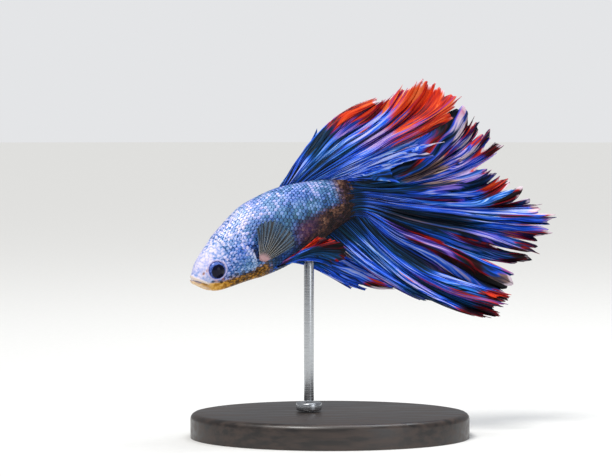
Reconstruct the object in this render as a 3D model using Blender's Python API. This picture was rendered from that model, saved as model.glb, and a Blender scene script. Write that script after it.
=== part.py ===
"""Betta fish, a long-finned male, life size, on a plain display stand.

Metres, +Z up. The origin is the centre of the stand's underside. The fish swims towards -X with its
head low and turned a little towards -Y, where its left flank faces. The sizes below are in
millimetres, and mesh_object scales each finished mesh once, by MM.
"""

import math
from typing import NamedTuple

import bmesh
import bpy
import numpy as np
from mathutils import Matrix, Vector

MM = 0.001

# ---------------------------------------------------------------- driving sizes
GAP = 0.3  # clearance between pieces that touch

# The body is a row of sections, read by station: 0 is the snout, 10 the root of the tail fin.
BODY_SIDES = 22
BODY_END = 10.0
STATION_LENGTH = 4.1
HEAD_END = 3.75
TRUNK_END = 8.3
HEAD_RINGS = 14
TRUNK_RINGS = 12
STALK_RINGS = 7
SQUARENESS = 0.92  # 1 is an ellipse, and less is boxier
BELLY_PINCH = 0.10  # how much narrower the belly is than the back
SNOUT_BULGE = 0.55
STALK_BULGE = 0.5

EYE_STATION = 1.6
EYE_LIFT = -3.0  # degrees round the section from the widest line
EYE_RADIUS = 1.85
EYE_HALF_DEPTH = 1.2
EYE_SUNK = 0.62

GILL_STATIONS = (2.25, 3.3)
GILL_ANGLES = (24.0, -50.0)
GILL_ROUNDING = 0.42  # how far its rear edge curves forward at the top and the foot, in stations
GILL_THICK = 0.6
GILL_FLARE = 0.18  # how far the rear edge stands off the cheek

MOUTH_CORNER = (-24.1, 31.5)  # X and Z of the corner of the mouth
MOUTH_SLOPE = -20.0
JAW_RAKE = 1.3  # how far the jaw's rear end slants back for each unit of depth
JAW_BLOCK = 9.0

FIN_THICK = 0.62  # through the sheet, in the direction that it faces
FIN_SUNK = 0.8  # how far a fin's root starts inside the body
RAY_HANDLE = 0.36  # share of a ray's length that each of its headings governs
NOTCH_WIDTH = 0.24  # of the space between two guide rays

DORSAL_ROOTS = (5.75, 8.35)  # stations along the back
ANAL_ROOTS = (7.3, 9.4)  # stations along the belly
CAUDAL_SPREAD = (80.0, -66.0)  # degrees, from the top to the foot of the stalk's round end
CAUDAL_SUNK = 1.6
PELVIC_STATION = 3.7
PELVIC_STEP = 0.12  # stations from one root to the next
PELVIC_SIDE = 20.0  # degrees from the keel
PELVIC_BOW = (-1.8, 2.2)  # how far the left and the right fin swing out beside the belly

PECTORAL_STATION = 3.5
PECTORAL_DROP = -30.0  # degrees below the widest line, where the fin's stem leaves the flank
PECTORAL_LENGTH = 8.2
PECTORAL_STEM = 0.9
PECTORAL_FAN = (113.0, 24.0)  # headings of its first and last ray
PECTORAL_STAND_OFF = 2.0
PECTORAL_RAYS = 9

BASE_LONG = 56.0
BASE_WIDE = 42.0
BASE_HIGH = 5.0
BASE_BEVEL = 1.2
ROD_RADIUS = 1.0
ROD_STATION = 6.35
ROD_REACH = 2.0  # how far its top runs up inside the belly's outline before it is cut back
COLLAR_RADIUS = 2.6
COLLAR_HIGH = 1.6


class Section(NamedTuple):
    """One cross-section of the body: its centre, and its reach up, down and sideways."""

    x: float
    y: float
    z: float
    up: float
    down: float
    side: float


class Ray(NamedTuple):
    """A guide ray of a fin: its tip, its headings at root and tip, and the notch after it.

    A heading is in degrees above +X, and a notch is a share of the ray's length.
    """

    x: float
    y: float
    z: float
    leaves: float
    arrives: float
    notch: float = 0.0


BODY = [
    Section(-26.8, -13.1, 32.3, 0.9, 0.9, 0.9),
    Section(-24.8, -11.6, 33.4, 3.4, 3.1, 2.3),
    Section(-21.7, -9.6, 35.2, 5.3, 5.0, 3.3),
    Section(-18.4, -7.3, 37.5, 6.5, 6.4, 3.9),
    Section(-14.9, -5.0, 39.7, 7.6, 7.4, 4.3),
    Section(-11.4, -2.9, 41.7, 7.6, 7.8, 4.4),
    Section(-7.8, -0.9, 43.5, 7.3, 7.4, 4.1),
    Section(-4.4, 1.0, 45.1, 6.5, 6.6, 3.5),
    Section(-1.0, 2.6, 46.5, 5.5, 5.6, 2.8),
    Section(2.8, 4.4, 47.6, 4.3, 4.5, 1.9),
    Section(6.3, 6.0, 48.2, 3.4, 3.5, 1.15),
]

DORSAL = [
    Ray(-2.6, 3.4, 61.9, 52, 62, 0.10),
    Ray(3.1, 5.2, 65.6, 50, 38),
    Ray(10.3, 3.8, 67.9, 44, 4, 0.07),
    Ray(14.2, 6.0, 70.5, 38, 68, 0.05),
    Ray(17.1, 4.4, 71.6, 34, 70),
    Ray(21.0, 6.4, 71.2, 30, 62),
    Ray(26.2, 4.6, 68.4, 26, 44, 0.05),
    Ray(25.7, 6.6, 64.7, 22, 28, 0.34),
    Ray(24.2, 5.0, 59.8, 18, 12, 0.16),
    Ray(21.6, 6.8, 56.2, 14, -2, 0.22),
    Ray(14.4, 5.6, 50.8, 12, -16),
]

CAUDAL = [
    Ray(23.5, 13.5, 63.7, 24, 62),
    Ray(27.0, 11.0, 66.4, 16, 62, 0.10),
    Ray(30.5, 14.5, 64.1, 11, 55, 0.10),
    Ray(32.5, 11.5, 61.3, 7, 45, 0.08),
    Ray(35.6, 14.5, 58.4, 3, 38, 0.12),
    Ray(33.8, 12.0, 53.9, 0, 30, 0.08),
    Ray(36.8, 15.5, 52.4, -3, 45, 0.12),
    Ray(39.2, 12.0, 49.8, -6, 35, 0.09),
    Ray(44.2, 15.5, 46.0, -10, 4, 0.05),
    Ray(47.2, 12.5, 43.7, -13, 2, 0.05),
    Ray(45.4, 16.5, 40.2, -17, -4, 0.13),
    Ray(43.8, 13.0, 36.3, -20, -22, 0.22),
    Ray(41.4, 16.0, 35.0, -24, -10, 0.15),
    Ray(38.9, 12.5, 29.9, -28, -30, 0.06),
    Ray(36.8, 15.0, 26.4, -33, -30, 0.03),
    Ray(31.5, 13.5, 27.4, -37, -32),
]

ANAL = [
    Ray(18.2, 4.6, 27.2, -40, -24, 0.04),
    Ray(23.8, 3.2, 26.1, -42, -24, 0.04),
    Ray(28.6, 5.2, 24.1, -42, -24, 0.05),
    Ray(31.9, 3.6, 23.6, -43, -30, 0.06),
    Ray(34.5, 6.0, 23.9, -45, -26, 0.06),
    Ray(35.8, 4.2, 26.0, -47, -28, 0.08),
    Ray(37.0, 6.4, 28.1, -50, -24),
]

PELVIC_LEFT = [
    Ray(-2.4, -3.2, 40.5, 32, 44),
    Ray(0.2, -2.2, 39.9, 28, 20),
    Ray(2.8, -2.8, 38.8, 25, -4),
    Ray(3.0, -1.6, 35.9, 21, -28, 0.10),
    Ray(0.2, -2.4, 34.3, 17, -34),
]

PELVIC_RIGHT = [
    Ray(3.1, 7.4, 36.8, 31, -10),
    Ray(8.6, 8.6, 33.0, 31, -28),
    Ray(13.1, 9.4, 29.2, 30, -8, 0.12),
    Ray(7.8, 8.6, 28.9, 28, -18, 0.10),
    Ray(4.6, 7.8, 29.0, 26, -30),
]


# ---------------------------------------------------------------- curves and the body's form
def through(rows, at):
    """A smooth curve through equally spaced rows, read at a row number that need not be whole."""
    rows = np.asarray(rows, float)
    last = len(rows) - 1
    i = int(min(max(math.floor(at), 0), last - 1))
    f = at - i
    before = rows[i - 1] if i > 0 else 2 * rows[i] - rows[i + 1]
    after = rows[i + 2] if i + 2 <= last else 2 * rows[i + 1] - rows[i]
    a, b = rows[i], rows[i + 1]
    start, end = (b - before) / 2, (after - a) / 2
    return (
        (2 * f**3 - 3 * f**2 + 1) * a
        + (f**3 - 2 * f**2 + f) * start
        + (3 * f**2 - 2 * f**3) * b
        + (f**3 - f**2) * end
    )


def body_frame(station):
    """The section's row there, and unit vectors tailwards, to the left flank and to the back."""
    row = through(BODY, station)
    step = 0.05
    low, high = max(station - step, 0), min(station + step, BODY_END)
    tailwards = Vector((through(BODY, high) - through(BODY, low))[:3]).normalized()
    left = Vector((tailwards.y, -tailwards.x, 0)).normalized()
    return row, tailwards, left, left.cross(tailwards)


def body_point(station, degrees, grow=0.0):
    """A point on the body, at an angle round the section: 0 is the left flank, 90 the back."""
    row, _, left, back = body_frame(station)
    a = math.radians(degrees)
    up, down, side = row[3:6]
    tall = (up if math.sin(a) > 0 else down) + grow
    across = math.copysign(abs(math.cos(a)) ** SQUARENESS, math.cos(a)) * (side + grow)
    across *= 1 - BELLY_PINCH * max(-math.sin(a), 0)
    return Vector(row[:3]) + left * across + back * (math.sin(a) * tall)


def flank_angle(degrees, side):
    """The angle on the left flank (side 1), or its mirror image on the right (side -1)."""
    return degrees if side > 0 else 180 - degrees


def mesh_object(name, bm, colour, roughness=0.5, metallic=0.0):
    """A named, smooth object from a bmesh in millimetres, with its own material."""
    bmesh.ops.scale(bm, vec=(MM, MM, MM), verts=bm.verts)
    bmesh.ops.recalc_face_normals(bm, faces=bm.faces)
    mesh = bpy.data.meshes.new(name)
    bm.to_mesh(mesh)
    bm.free()
    mesh.shade_smooth()
    obj = bpy.data.objects.new(name, mesh)
    bpy.context.scene.collection.objects.link(obj)
    material = bpy.data.materials.new(name)
    material.use_nodes = True
    shader = material.node_tree.nodes["Principled BSDF"]
    shader.inputs["Base Color"].default_value = (*colour, 1)
    shader.inputs["Roughness"].default_value = roughness
    shader.inputs["Metallic"].default_value = metallic
    mesh.materials.append(material)
    return obj


def as_cutter(obj):
    """Marks a helper that only cuts, so that it is no part of the object."""
    obj.hide_render = True
    obj.display_type = "WIRE"
    return obj


def boolean(obj, other, operation="DIFFERENCE"):
    """Adds an exact Boolean with another object."""
    modifier = obj.modifiers.new(operation.title() + "_" + other.name, "BOOLEAN")
    modifier.operation = operation
    modifier.object = other


def body_loft(name, start, end, rings, colour, grow=0.0):
    """A closed length of the body between two stations, flat at each end but the body's own two."""
    bm = bmesh.new()
    bmesh.ops.create_uvsphere(bm, u_segments=BODY_SIDES, v_segments=rings + 1, radius=1)
    for vertex in bm.verts:
        polar = math.acos(max(-1.0, min(1.0, vertex.co.z)))
        ring = round(polar / math.pi * (rings + 1))
        share = min(max((ring - 1) / (rings - 1), 0), 1)
        station = start + (end - start) * share
        if 0 < ring < rings + 1:
            around = math.degrees(math.atan2(vertex.co.y, vertex.co.x))
            vertex.co = body_point(station, around, grow)
            continue
        row, tailwards, _, _ = body_frame(station)
        bulge = grow
        if ring == 0 and start == 0:
            bulge += SNOUT_BULGE
        if ring and end == BODY_END:
            bulge += STALK_BULGE
        vertex.co = Vector(row[:3]) + tailwards * math.copysign(bulge, ring - 1)
    return mesh_object(name, bm, colour)


# ---------------------------------------------------------------- fins
def thicken(bm, facing):
    """Turns an open sheet into a closed one, FIN_THICK deep along the way that it faces."""
    bmesh.ops.translate(bm, vec=facing * (-FIN_THICK / 2), verts=bm.verts)
    grown = bmesh.ops.extrude_face_region(bm, geom=bm.faces[:])["geom"]
    moved = [item for item in grown if isinstance(item, bmesh.types.BMVert)]
    bmesh.ops.translate(bm, vec=facing * FIN_THICK, verts=moved)


def bezier(p0, p1, p2, p3, t):
    """A point of a cubic Bezier curve."""
    s = 1 - t
    return p0 * s**3 + p1 * (3 * s * s * t) + p2 * (3 * s * t * t) + p3 * t**3


def ray_handles(root, ray, bow):
    """The four Bezier points of a guide ray from its root; bow swings its first part along Y."""
    tip = Vector((ray.x, ray.y, ray.z))
    reach = (tip - root).length * RAY_HANDLE
    out, home = math.radians(ray.leaves), math.radians(ray.arrives)
    first = root + Vector((math.cos(out), 0, math.sin(out))) * reach
    last = tip - Vector((math.cos(home), 0, math.sin(home))) * reach
    sway = (tip.y - root.y) * RAY_HANDLE
    first.y += sway + bow
    last.y -= sway / 2
    return [*root, *first, *last, *tip]


def fin_point(handles, rays, across, along):
    """A point of a fin: across runs over its guide rays from 0 to 1, along from root to margin."""
    at = across * (len(rays) - 1)
    row = through(handles, at)
    i = min(int(at), len(rays) - 2)
    from_middle = (at - i - 0.5) / NOTCH_WIDTH
    reach = 1 - rays[i].notch * math.exp(-from_middle * from_middle)
    points = [Vector(row[k : k + 3]) for k in (0, 3, 6, 9)]
    return bezier(*points, along * reach)


def fin(name, roots, rays, columns, rows, colour, bow=0.0):
    """A closed, ruffled sheet over guide rays whose roots are given as points."""
    handles = [ray_handles(root, ray, bow) for root, ray in zip(roots, rays)]
    bm = bmesh.new()
    bmesh.ops.create_grid(bm, x_segments=columns, y_segments=rows, size=0.5)
    for vertex in bm.verts:
        vertex.co = fin_point(handles, rays, vertex.co.x + 0.5, vertex.co.y + 0.5)
    thicken(bm, Vector((0, 1, 0)))
    return mesh_object(name, bm, colour, roughness=0.4)


def ridge_roots(stations, degrees, count):
    """Root points spaced along the back or the belly, a little inside the body."""
    low, high = stations
    return [
        body_point(low + (high - low) * i / (count - 1), degrees, -FIN_SUNK) for i in range(count)
    ]


def stalk_roots(count):
    """Root points round the end of the tail stalk, from its top to its foot."""
    top, foot = CAUDAL_SPREAD
    row, tailwards, _, back = body_frame(BODY_END)
    points = []
    for i in range(count):
        a = math.radians(top + (foot - top) * i / (count - 1))
        tall = (row[3] if a > 0 else row[4]) - FIN_SUNK / 2
        inset = CAUDAL_SUNK - 1.2 * math.cos(a)
        points.append(Vector(row[:3]) + back * (math.sin(a) * tall) - tailwards * inset)
    return points


def pelvic_roots(count, side):
    """Root points of a pelvic fin beside the keel, with the upper ray's root furthest back."""
    return [
        body_point(PELVIC_STATION + PELVIC_STEP * (count - 1 - i), side * PELVIC_SIDE - 90, -FIN_SUNK)
        for i in range(count)
    ]


def pectoral(name, side, colour):
    """A pectoral fin: a fan that leaves the flank behind the gill cover and stands a little off it."""
    _, tailwards, left, back = body_frame(PECTORAL_STATION)
    out = left * side
    stem = body_point(PECTORAL_STATION, flank_angle(PECTORAL_DROP, side), -FIN_SUNK)
    pitch = math.degrees(math.atan2(tailwards.z, math.hypot(tailwards.x, tailwards.y)))
    first, last = PECTORAL_FAN
    bm = bmesh.new()
    bmesh.ops.create_grid(bm, x_segments=PECTORAL_RAYS, y_segments=4, size=0.5)
    for vertex in bm.verts:
        u, v = vertex.co.x + 0.5, vertex.co.y + 0.5
        heading = math.radians(first + (last - first) * u - pitch)
        scallop = 0.94 if round(u * PECTORAL_RAYS) % 2 else 1.0
        along = PECTORAL_LENGTH * (0.9 + 0.12 * math.sin(math.pi * u)) * scallop * v
        root = (back - tailwards) * (PECTORAL_STEM * (0.5 - u))
        fold = 0.35 * v * math.cos(u * 5 * math.pi)
        stand = PECTORAL_STEM + PECTORAL_STAND_OFF * math.sin(v * math.pi / 2) + fold
        vertex.co = (
            stem + root * (1 - v) + out * stand
            + tailwards * (math.cos(heading) * along) + back * (math.sin(heading) * along)
        )
    thicken(bm, out)
    return mesh_object(name, bm, colour, roughness=0.4)


# ---------------------------------------------------------------- head pieces
def eye_at(side):
    """The eye's centre and the way it looks."""
    surface = body_point(EYE_STATION, flank_angle(EYE_LIFT, side))
    ahead = surface - body_point(EYE_STATION + 0.5, flank_angle(EYE_LIFT, side))
    above = body_point(EYE_STATION, flank_angle(EYE_LIFT + 20, side)) - surface
    looks = ahead.cross(above).normalized()
    _, _, left, _ = body_frame(EYE_STATION)
    if looks.dot(left) * side < 0:
        looks = -looks
    return surface - looks * EYE_SUNK, looks


def eye(name, side, grow=0.0):
    """An eyeball, a little flattened, with a clear bulge."""
    centre, looks = eye_at(side)
    bm = bmesh.new()
    bmesh.ops.create_uvsphere(bm, u_segments=12, v_segments=8, radius=1)
    radius, depth = EYE_RADIUS + grow, EYE_HALF_DEPTH + grow
    bmesh.ops.scale(bm, vec=(radius, radius, depth), verts=bm.verts)
    turn = looks.to_track_quat("Z", "Y").to_matrix().to_4x4()
    bmesh.ops.transform(bm, matrix=Matrix.Translation(centre) @ turn, verts=bm.verts)
    return mesh_object(name, bm, (0.02, 0.03, 0.08), roughness=0.08)


def gill_cover(name, side, grow=0.0):
    """A curved plate over the cheek with a round rear edge; grow makes the room that it sits in."""
    bm = bmesh.new()
    bmesh.ops.create_grid(bm, x_segments=5, y_segments=7, size=0.5)
    front, rear = GILL_STATIONS
    top, foot = GILL_ANGLES
    wider = grow / STATION_LENGTH * 1.5
    taller = math.degrees(grow / BODY[3].up) * 1.5
    for vertex in bm.verts:
        u, v = vertex.co.x + 0.5, vertex.co.y + 0.5
        edge = rear - GILL_ROUNDING * abs(2 * v - 1) ** 2.2
        station = front + (edge - front) * u + wider * (2 * u - 1)
        degrees = top + (foot - top) * v + taller * (1 - 2 * v)
        vertex.co = body_point(station, flank_angle(degrees, side), GILL_FLARE * u * u - 0.08)
    obj = mesh_object(name, bm, (0.45, 0.55, 0.85), roughness=0.35)
    plate = obj.modifiers.new("Plate", "SOLIDIFY")
    plate.thickness = (GILL_THICK + 2 * grow) * MM
    plate.offset = 0
    return obj


def jaw_block(name, grow):
    """The wedge that parts the lower jaw from the head, from the corner of the mouth forwards."""
    bm = bmesh.new()
    bmesh.ops.create_cube(bm, size=1)
    bmesh.ops.scale(bm, vec=(JAW_BLOCK, 2 * JAW_BLOCK, JAW_BLOCK), verts=bm.verts)
    shift = grow - JAW_BLOCK / 2
    bmesh.ops.translate(bm, vec=(shift, 0, shift), verts=bm.verts)
    for vertex in bm.verts:
        vertex.co.x -= JAW_RAKE * (vertex.co.z - grow)
    corner = Vector((MOUTH_CORNER[0], BODY[1].y, MOUTH_CORNER[1]))
    turn = Matrix.Rotation(math.radians(-MOUTH_SLOPE), 4, "Y")
    bmesh.ops.transform(bm, matrix=Matrix.Translation(corner) @ turn, verts=bm.verts)
    return as_cutter(mesh_object(name, bm, (1, 0, 0)))


# ---------------------------------------------------------------- the stand
def stand_base():
    """A flat oval foot with a soft upper edge."""
    bm = bmesh.new()
    bmesh.ops.create_cone(
        bm, cap_ends=True, segments=40, radius1=0.5, radius2=0.5, depth=1,
        matrix=Matrix.Translation((0, 0, 0.5)),
    )
    bmesh.ops.scale(bm, vec=(BASE_LONG, BASE_WIDE, BASE_HIGH), verts=bm.verts)
    rim = [e for e in bm.edges if all(v.co.z > BASE_HIGH - 0.01 for v in e.verts)]
    bmesh.ops.bevel(
        bm, geom=rim, offset=BASE_BEVEL, segments=2, profile=0.5, affect="EDGES", material=-1
    )
    return mesh_object("stand_base", bm, (0.03, 0.03, 0.035), roughness=0.35)


def upright(name, foot, radius, high):
    """A round steel bar standing on a point."""
    bm = bmesh.new()
    bmesh.ops.create_cone(
        bm, cap_ends=True, segments=16, radius1=radius, radius2=radius, depth=high,
        matrix=Matrix.Translation(foot + Vector((0, 0, high / 2))),
    )
    return mesh_object(name, bm, (0.6, 0.62, 0.65), roughness=0.25, metallic=1.0)


# ---------------------------------------------------------------- assembly
def build_head(flesh, chin):
    """The head with its eyes, gill covers and lower jaw, each in its own room."""
    head = body_loft("head", 0.0, HEAD_END, HEAD_RINGS, flesh)
    for side, word in ((1, "left"), (-1, "right")):
        eye("eye_" + word, side)
        boolean(head, as_cutter(eye("socket_" + word, side, GAP)))
        gill_cover("gill_cover_" + word, side)
        boolean(head, as_cutter(gill_cover("gill_room_" + word, side, GAP)))
    boolean(head, jaw_block("jaw_room", GAP))
    jaw = body_loft("lower_jaw", 0.0, HEAD_END, HEAD_RINGS, chin)
    boolean(jaw, jaw_block("jaw_form", 0.0), "INTERSECT")


def build_fins(blue, red):
    """Every fin, with its root still inside the body."""
    return [
        fin("dorsal_fin", ridge_roots(DORSAL_ROOTS, 90, len(DORSAL)), DORSAL, 38, 7, blue),
        fin("caudal_fin", stalk_roots(len(CAUDAL)), CAUDAL, 60, 7, blue),
        fin("anal_fin", ridge_roots(ANAL_ROOTS, -90, len(ANAL)), ANAL, 28, 7, blue),
        fin("pelvic_fin_left", pelvic_roots(5, 1), PELVIC_LEFT, 10, 7, red, PELVIC_BOW[0]),
        fin("pelvic_fin_right", pelvic_roots(5, -1), PELVIC_RIGHT, 10, 7, blue, PELVIC_BOW[1]),
        pectoral("pectoral_fin_left", 1, blue),
        pectoral("pectoral_fin_right", -1, blue),
    ]


def build_stand():
    """The base, the collar and the rod; the rod's top is still inside the belly."""
    stand_base()
    belly = body_point(ROD_STATION, -90)
    foot = Vector((belly.x, belly.y, BASE_HIGH + GAP))
    upright("stand_collar", foot, COLLAR_RADIUS, COLLAR_HIGH)
    foot.z += COLLAR_HIGH + GAP
    return upright("stand_rod", foot, ROD_RADIUS, belly.z + ROD_REACH - foot.z)


def build():
    for old in list(bpy.data.objects):
        bpy.data.objects.remove(old)

    flesh, copper, orange = (0.42, 0.5, 0.85), (0.2, 0.12, 0.09), (0.75, 0.42, 0.1)
    blue, red = (0.05, 0.14, 0.75), (0.5, 0.03, 0.03)

    part_line = GAP / STATION_LENGTH
    build_head(flesh, orange)
    body_loft("trunk", HEAD_END + part_line, TRUNK_END, TRUNK_RINGS, flesh)
    body_loft("tail_stalk", TRUNK_END + part_line, BODY_END, STALK_RINGS, copper)

    skin_room = as_cutter(body_loft("skin_room", 0.0, BODY_END, 30, flesh, GAP))
    for piece in [*build_fins(blue, red), build_stand()]:
        boolean(piece, skin_room)


build()
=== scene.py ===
"""A life-size betta fish, a long-finned male, on a plain display stand.

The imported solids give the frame. One skin replaces the flesh, overlapping scales lie over it, and each
fin is a pleated sheet of branching rays. Tables are in millimetres in the model's frame: the fish
swims towards -X, its left flank faces -Y, and +Z is up.
"""

from __future__ import annotations

import logging
import math
from dataclasses import dataclass
from enum import Enum

import bmesh
import bpy
import numpy as np
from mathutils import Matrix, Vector


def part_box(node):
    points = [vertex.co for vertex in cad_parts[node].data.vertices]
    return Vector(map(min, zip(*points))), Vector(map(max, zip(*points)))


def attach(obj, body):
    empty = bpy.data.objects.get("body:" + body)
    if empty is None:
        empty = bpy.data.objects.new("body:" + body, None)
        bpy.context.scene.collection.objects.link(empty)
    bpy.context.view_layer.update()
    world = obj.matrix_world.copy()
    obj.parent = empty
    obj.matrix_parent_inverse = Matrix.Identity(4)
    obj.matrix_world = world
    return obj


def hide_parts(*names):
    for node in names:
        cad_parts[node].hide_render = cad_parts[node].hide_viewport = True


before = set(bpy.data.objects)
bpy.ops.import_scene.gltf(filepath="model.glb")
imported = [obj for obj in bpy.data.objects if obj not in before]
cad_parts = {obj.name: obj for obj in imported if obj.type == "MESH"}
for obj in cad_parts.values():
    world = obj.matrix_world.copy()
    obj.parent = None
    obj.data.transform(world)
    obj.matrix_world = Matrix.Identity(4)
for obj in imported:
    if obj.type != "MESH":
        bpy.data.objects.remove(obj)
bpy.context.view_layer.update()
LOG = logging.getLogger("betta")

MM = 0.001
BAKE_MAP = "OFBake"
Array = np.ndarray
Triple = tuple[float, float, float]
Colour = Triple
Stops = tuple[tuple[float, Colour], ...]
Material = bpy.types.Material
Object = bpy.types.Object
Socket = bpy.types.NodeSocket


def hex_colour(code: str) -> Colour:
    """A scene-linear colour from a screen colour such as "4060cc".

    Args:
        code: six hexadecimal digits, red first.

    Returns:
        The three linear values.
    """
    values = (int(code[i : i + 2], 16) / 255 for i in (0, 2, 4))
    return tuple(v / 12.92 if v <= 0.04045 else ((v + 0.055) / 1.055) ** 2.4 for v in values)


def shades(*pairs: float | str) -> Stops:
    """A row of colours from alternating places and screen colours."""
    return tuple(zip(pairs[::2], map(hex_colour, pairs[1::2])))


def smooth(low: float, high: float, x: Array) -> Array:
    """A soft step from 0 at low to 1 at high; low may be the larger of the two."""
    t = np.clip((x - low) / (high - low), 0, 1)
    return t * t * (3 - 2 * t)


def bump(middle: float, width: float, x: Array) -> Array:
    """A soft hump of height 1 about a middle value."""
    return np.exp(-(((x - middle) / width) ** 2))


def through(rows: Array, at: Array) -> Array:
    """Reads a smooth curve through equally spaced rows.

    Args:
        rows: one row of values for each whole number.
        at: the row numbers to read, which need not be whole.

    Returns:
        One row for each entry of at.
    """
    last = len(rows) - 1
    i = np.clip(np.floor(at).astype(int), 0, last - 1)
    f = (at - i)[:, None]
    ends = np.vstack([2 * rows[0] - rows[1], rows, 2 * rows[-1] - rows[-2]])
    before, a, b, after = ends[i], ends[i + 1], ends[i + 2], ends[i + 3]
    return (
        (2 * f**3 - 3 * f**2 + 1) * a
        + (f**3 - 2 * f**2 + f) * (b - before) / 2
        + (3 * f**2 - 2 * f**3) * b
        + (f**3 - f**2) * (after - a) / 2
    )


# ---------------------------------------------------------------- meshes
def numbers(items: object, field: str, width: int = 1, kind: type = np.int32) -> Array:
    """Reads one field of every item of a mesh.

    Args:
        items: the mesh's points, corners, faces or triangles.
        field: the field's name.
        width: how many numbers each item has.
        kind: the numbers' type.

    Returns:
        All the numbers in one row.
    """
    values = np.empty(len(items) * width, kind)
    items.foreach_get(field, values)
    return values


def added(name: str, data: bpy.types.ID) -> Object:
    """Makes an object and adds it to the scene.

    Args:
        name: the object's name.
        data: its mesh, light or camera.

    Returns:
        The object, at the origin.
    """
    obj = bpy.data.objects.new(name, data)
    bpy.context.scene.collection.objects.link(obj)
    return obj


class Piece:
    """A mesh object under construction, in millimetres until it is placed."""

    def __init__(self, name: str, bm: bmesh.types.BMesh) -> None:
        """Takes over a bmesh and keeps its points as an array.

        Args:
            name: the object's name.
            bm: the shape, which is freed.
        """
        self.mesh = bpy.data.meshes.new(name)
        bm.to_mesh(self.mesh)
        bm.free()
        points = numbers(self.mesh.vertices, "co", 3, np.float32)
        self.points = points.reshape(-1, 3).astype(float)

    def attribute(self, name: str, values: Array) -> None:
        """Stores one number for each point, for the materials to read."""
        layer = self.mesh.attributes.new(name, "FLOAT", "POINT")
        layer.data.foreach_set("value", np.asarray(values, np.float32))

    def loops(self) -> Array:
        """The point that each face corner uses."""
        return numbers(self.mesh.loops, "vertex_index")

    def bake_map(self, corner_uv: Array) -> None:
        """Stores the map that the colours are baked on, one pair for each face corner."""
        layer = self.mesh.uv_layers.new(name=BAKE_MAP)
        layer.data.foreach_set("uv", np.asarray(corner_uv, np.float32).ravel())

    def place(self, points: Array, material: Material) -> Object:
        """Moves the points to their place, turns the faces outwards and makes the object.

        Args:
            points: the points in millimetres.
            material: the piece's finish.

        Returns:
            The finished object, which sits at the origin.
        """
        self.mesh.vertices.foreach_set("co", (points * MM).astype(np.float32).ravel())
        self.mesh.update()
        self.mesh.calc_loop_triangles()
        corners = numbers(self.mesh.loop_triangles, "vertices", 3)
        a, b, c = (points[corners[i::3]] for i in range(3))
        if np.einsum("ij,ij->i", a, np.cross(b, c)).sum() < 0:
            self.mesh.flip_normals()
        self.mesh.shade_smooth()
        self.mesh.materials.append(material)
        obj = added(self.mesh.name, self.mesh)
        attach(obj, "root")
        LOG.info("%s: %d points", obj.name, len(points))
        return obj


class SheetPiece(Piece):
    """A thin closed sheet: u runs across it, v along it, and side is -1 or 1 for its two faces."""

    def __init__(self, name: str, columns: int, rows: int) -> None:
        """Makes a grid with a front, a back and a rim.

        Args:
            name: the object's name.
            columns: faces across.
            rows: faces along.
        """
        bm = bmesh.new()
        bmesh.ops.create_grid(bm, x_segments=columns, y_segments=rows, size=0.5)
        grown = bmesh.ops.extrude_face_region(bm, geom=bm.faces[:])["geom"]
        raised = [item for item in grown if isinstance(item, bmesh.types.BMVert)]
        bmesh.ops.translate(bm, vec=(0, 0, 1), verts=raised)
        super().__init__(name, bm)
        self.u = self.points[:, 0] + 0.5
        self.v = self.points[:, 1] + 0.5
        self.side = self.points[:, 2] * 2 - 1
        self.map_halves()

    def map_halves(self) -> None:
        """Maps the front on one half of the bake map and the back on the other."""
        corners = self.loops()
        half = (self.side[corners] > 0).reshape(-1, 4)
        half = np.repeat(half.all(axis=1), 4)
        across = (self.u[corners] * 0.96 + 0.02) / 2 + half * 0.5
        self.bake_map(np.column_stack([across, self.v[corners] * 0.96 + 0.02]))


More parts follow.
